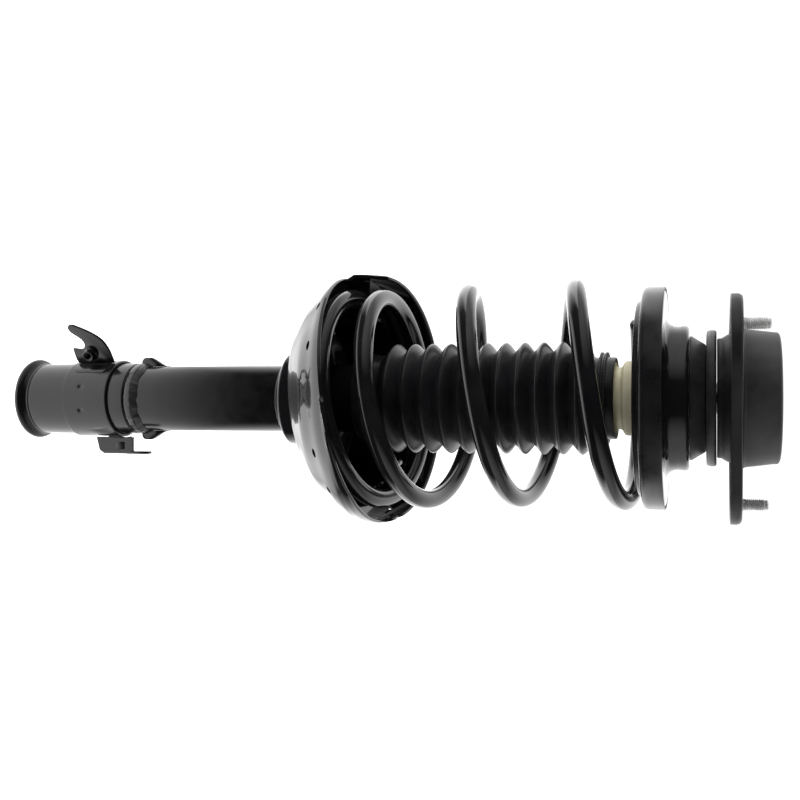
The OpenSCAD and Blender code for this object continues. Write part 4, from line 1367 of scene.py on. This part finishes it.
def make_floor():
    """A plain pale floor. What the strut sees of it glows behind the strut and fades in front."""
    size = 40000.0
    z = cad_low.z / MM - FLOOR_DROP
    corners = [(-size, -size, z), (size, -size, z), (size, size, z), (-size, size, z)]
    floor = to_object("floor", corners, [(0, 1, 2, 3)])
    material, nodes, links, shader = new_material("floor")
    shader.inputs["Base Color"].default_value = (0.9, 0.9, 0.9, 1)
    shader.inputs["Roughness"].default_value = 0.8
    shader.inputs["Emission Color"].default_value = (1, 1, 1, 1)
    shader.inputs["Emission Strength"].default_value = 0.95
    place = nodes.new("ShaderNodeTexCoord")
    split = nodes.new("ShaderNodeSeparateXYZ")
    links.new(place.outputs["Object"], split.inputs["Vector"])
    far = nodes.new("ShaderNodeVectorMath")
    far.operation = "LENGTH"
    links.new(place.outputs["Object"], far.inputs[0])
    behind = ranged(nodes, links, split.outputs["Y"], 0.05, 0.6, 0.005, 2.2)
    pool = ranged(nodes, links, far.outputs["Value"], 0.77, 0.65, 0.0, 1.9)
    bounce = nodes.new("ShaderNodeEmission")
    links.new(combined_value(nodes, links, "MAXIMUM", behind, pool), bounce.inputs["Strength"])
    output = [node for node in nodes if node.type == "OUTPUT_MATERIAL"][0]
    seen_and_cast(nodes, links, shader.outputs["BSDF"], bounce.outputs["Emission"], output)
    floor.data.materials.append(material)


def make_world():
    """A white backdrop, bright at both sides and behind the strut, and dim on the camera's side."""
    world = bpy.data.worlds.new("studio")
    bpy.context.scene.world = world
    world.use_nodes = True
    nodes = world.node_tree.nodes
    links = world.node_tree.links
    nodes.clear()
    place = nodes.new("ShaderNodeTexCoord")
    split = nodes.new("ShaderNodeSeparateXYZ")
    size = nodes.new("ShaderNodeMath")
    size.operation = "ABSOLUTE"
    links.new(place.outputs["Generated"], split.inputs["Vector"])
    links.new(split.outputs["X"], size.inputs[0])
    sides = ranged(nodes, links, size.outputs["Value"], 0.45, 0.9, 0.01, 0.7)
    behind = ranged(nodes, links, split.outputs["Y"], 0.15, 0.8, 0.0, 1.3)
    glow = combined_value(nodes, links, "MAXIMUM", sides, behind)
    room = nodes.new("ShaderNodeBackground")
    room.inputs["Color"].default_value = (1, 1, 1, 1)
    links.new(glow, room.inputs["Strength"])
    backdrop = nodes.new("ShaderNodeBackground")
    backdrop.inputs["Color"].default_value = (1, 1, 1, 1)
    backdrop.inputs["Strength"].default_value = 1.1
    output = nodes.new("ShaderNodeOutputWorld")
    seen_and_cast(nodes, links, backdrop.outputs["Background"], room.outputs["Background"], output)


def soft_light(name, place, aim, width, height, power):
    """A rectangular soft light that the camera doesn't see."""
    data = bpy.data.lights.new(name, "AREA")
    data.shape = "RECTANGLE"
    data.size = width * MM
    data.size_y = height * MM
    data.energy = power
    light = bpy.data.objects.new(name, data)
    light.location = Vector(place) * MM
    direction = Vector(aim) * MM - light.location
    light.rotation_mode = "QUATERNION"
    light.rotation_quaternion = direction.to_track_quat("-Z", "Y")
    light.visible_camera = False
    light.visible_glossy = False
    bpy.context.scene.collection.objects.link(light)


def make_lights():
    middle = (0, 0, -270)
    soft_light("light_up", (-1100, -250, -200), middle, 1500, 700, 16)
    soft_light("light_down", (1100, -250, -200), middle, 1500, 700, 10)
    soft_light("light_top", (0, 100, 900), middle, 900, 900, 9)


make_sleeve()
make_tube()
make_sleeve_weld()
make_collar_weld()
make_fins()
make_band()
make_ear()
make_hose_nut()
make_harness_bracket()
make_collar()
make_pan()
make_spring()
make_boot()
make_tie()
make_bump_stop()
make_isolator()
make_upper_seat()
make_bearing()
make_plate()
make_studs()
make_cup()
make_mount_rubber()
make_core()
make_washer()
make_nut()
make_rod()
dress_kept_nodes()
make_camera()
make_floor()
make_world()
make_lights()
bpy.context.scene.view_settings.view_transform = "Standard"
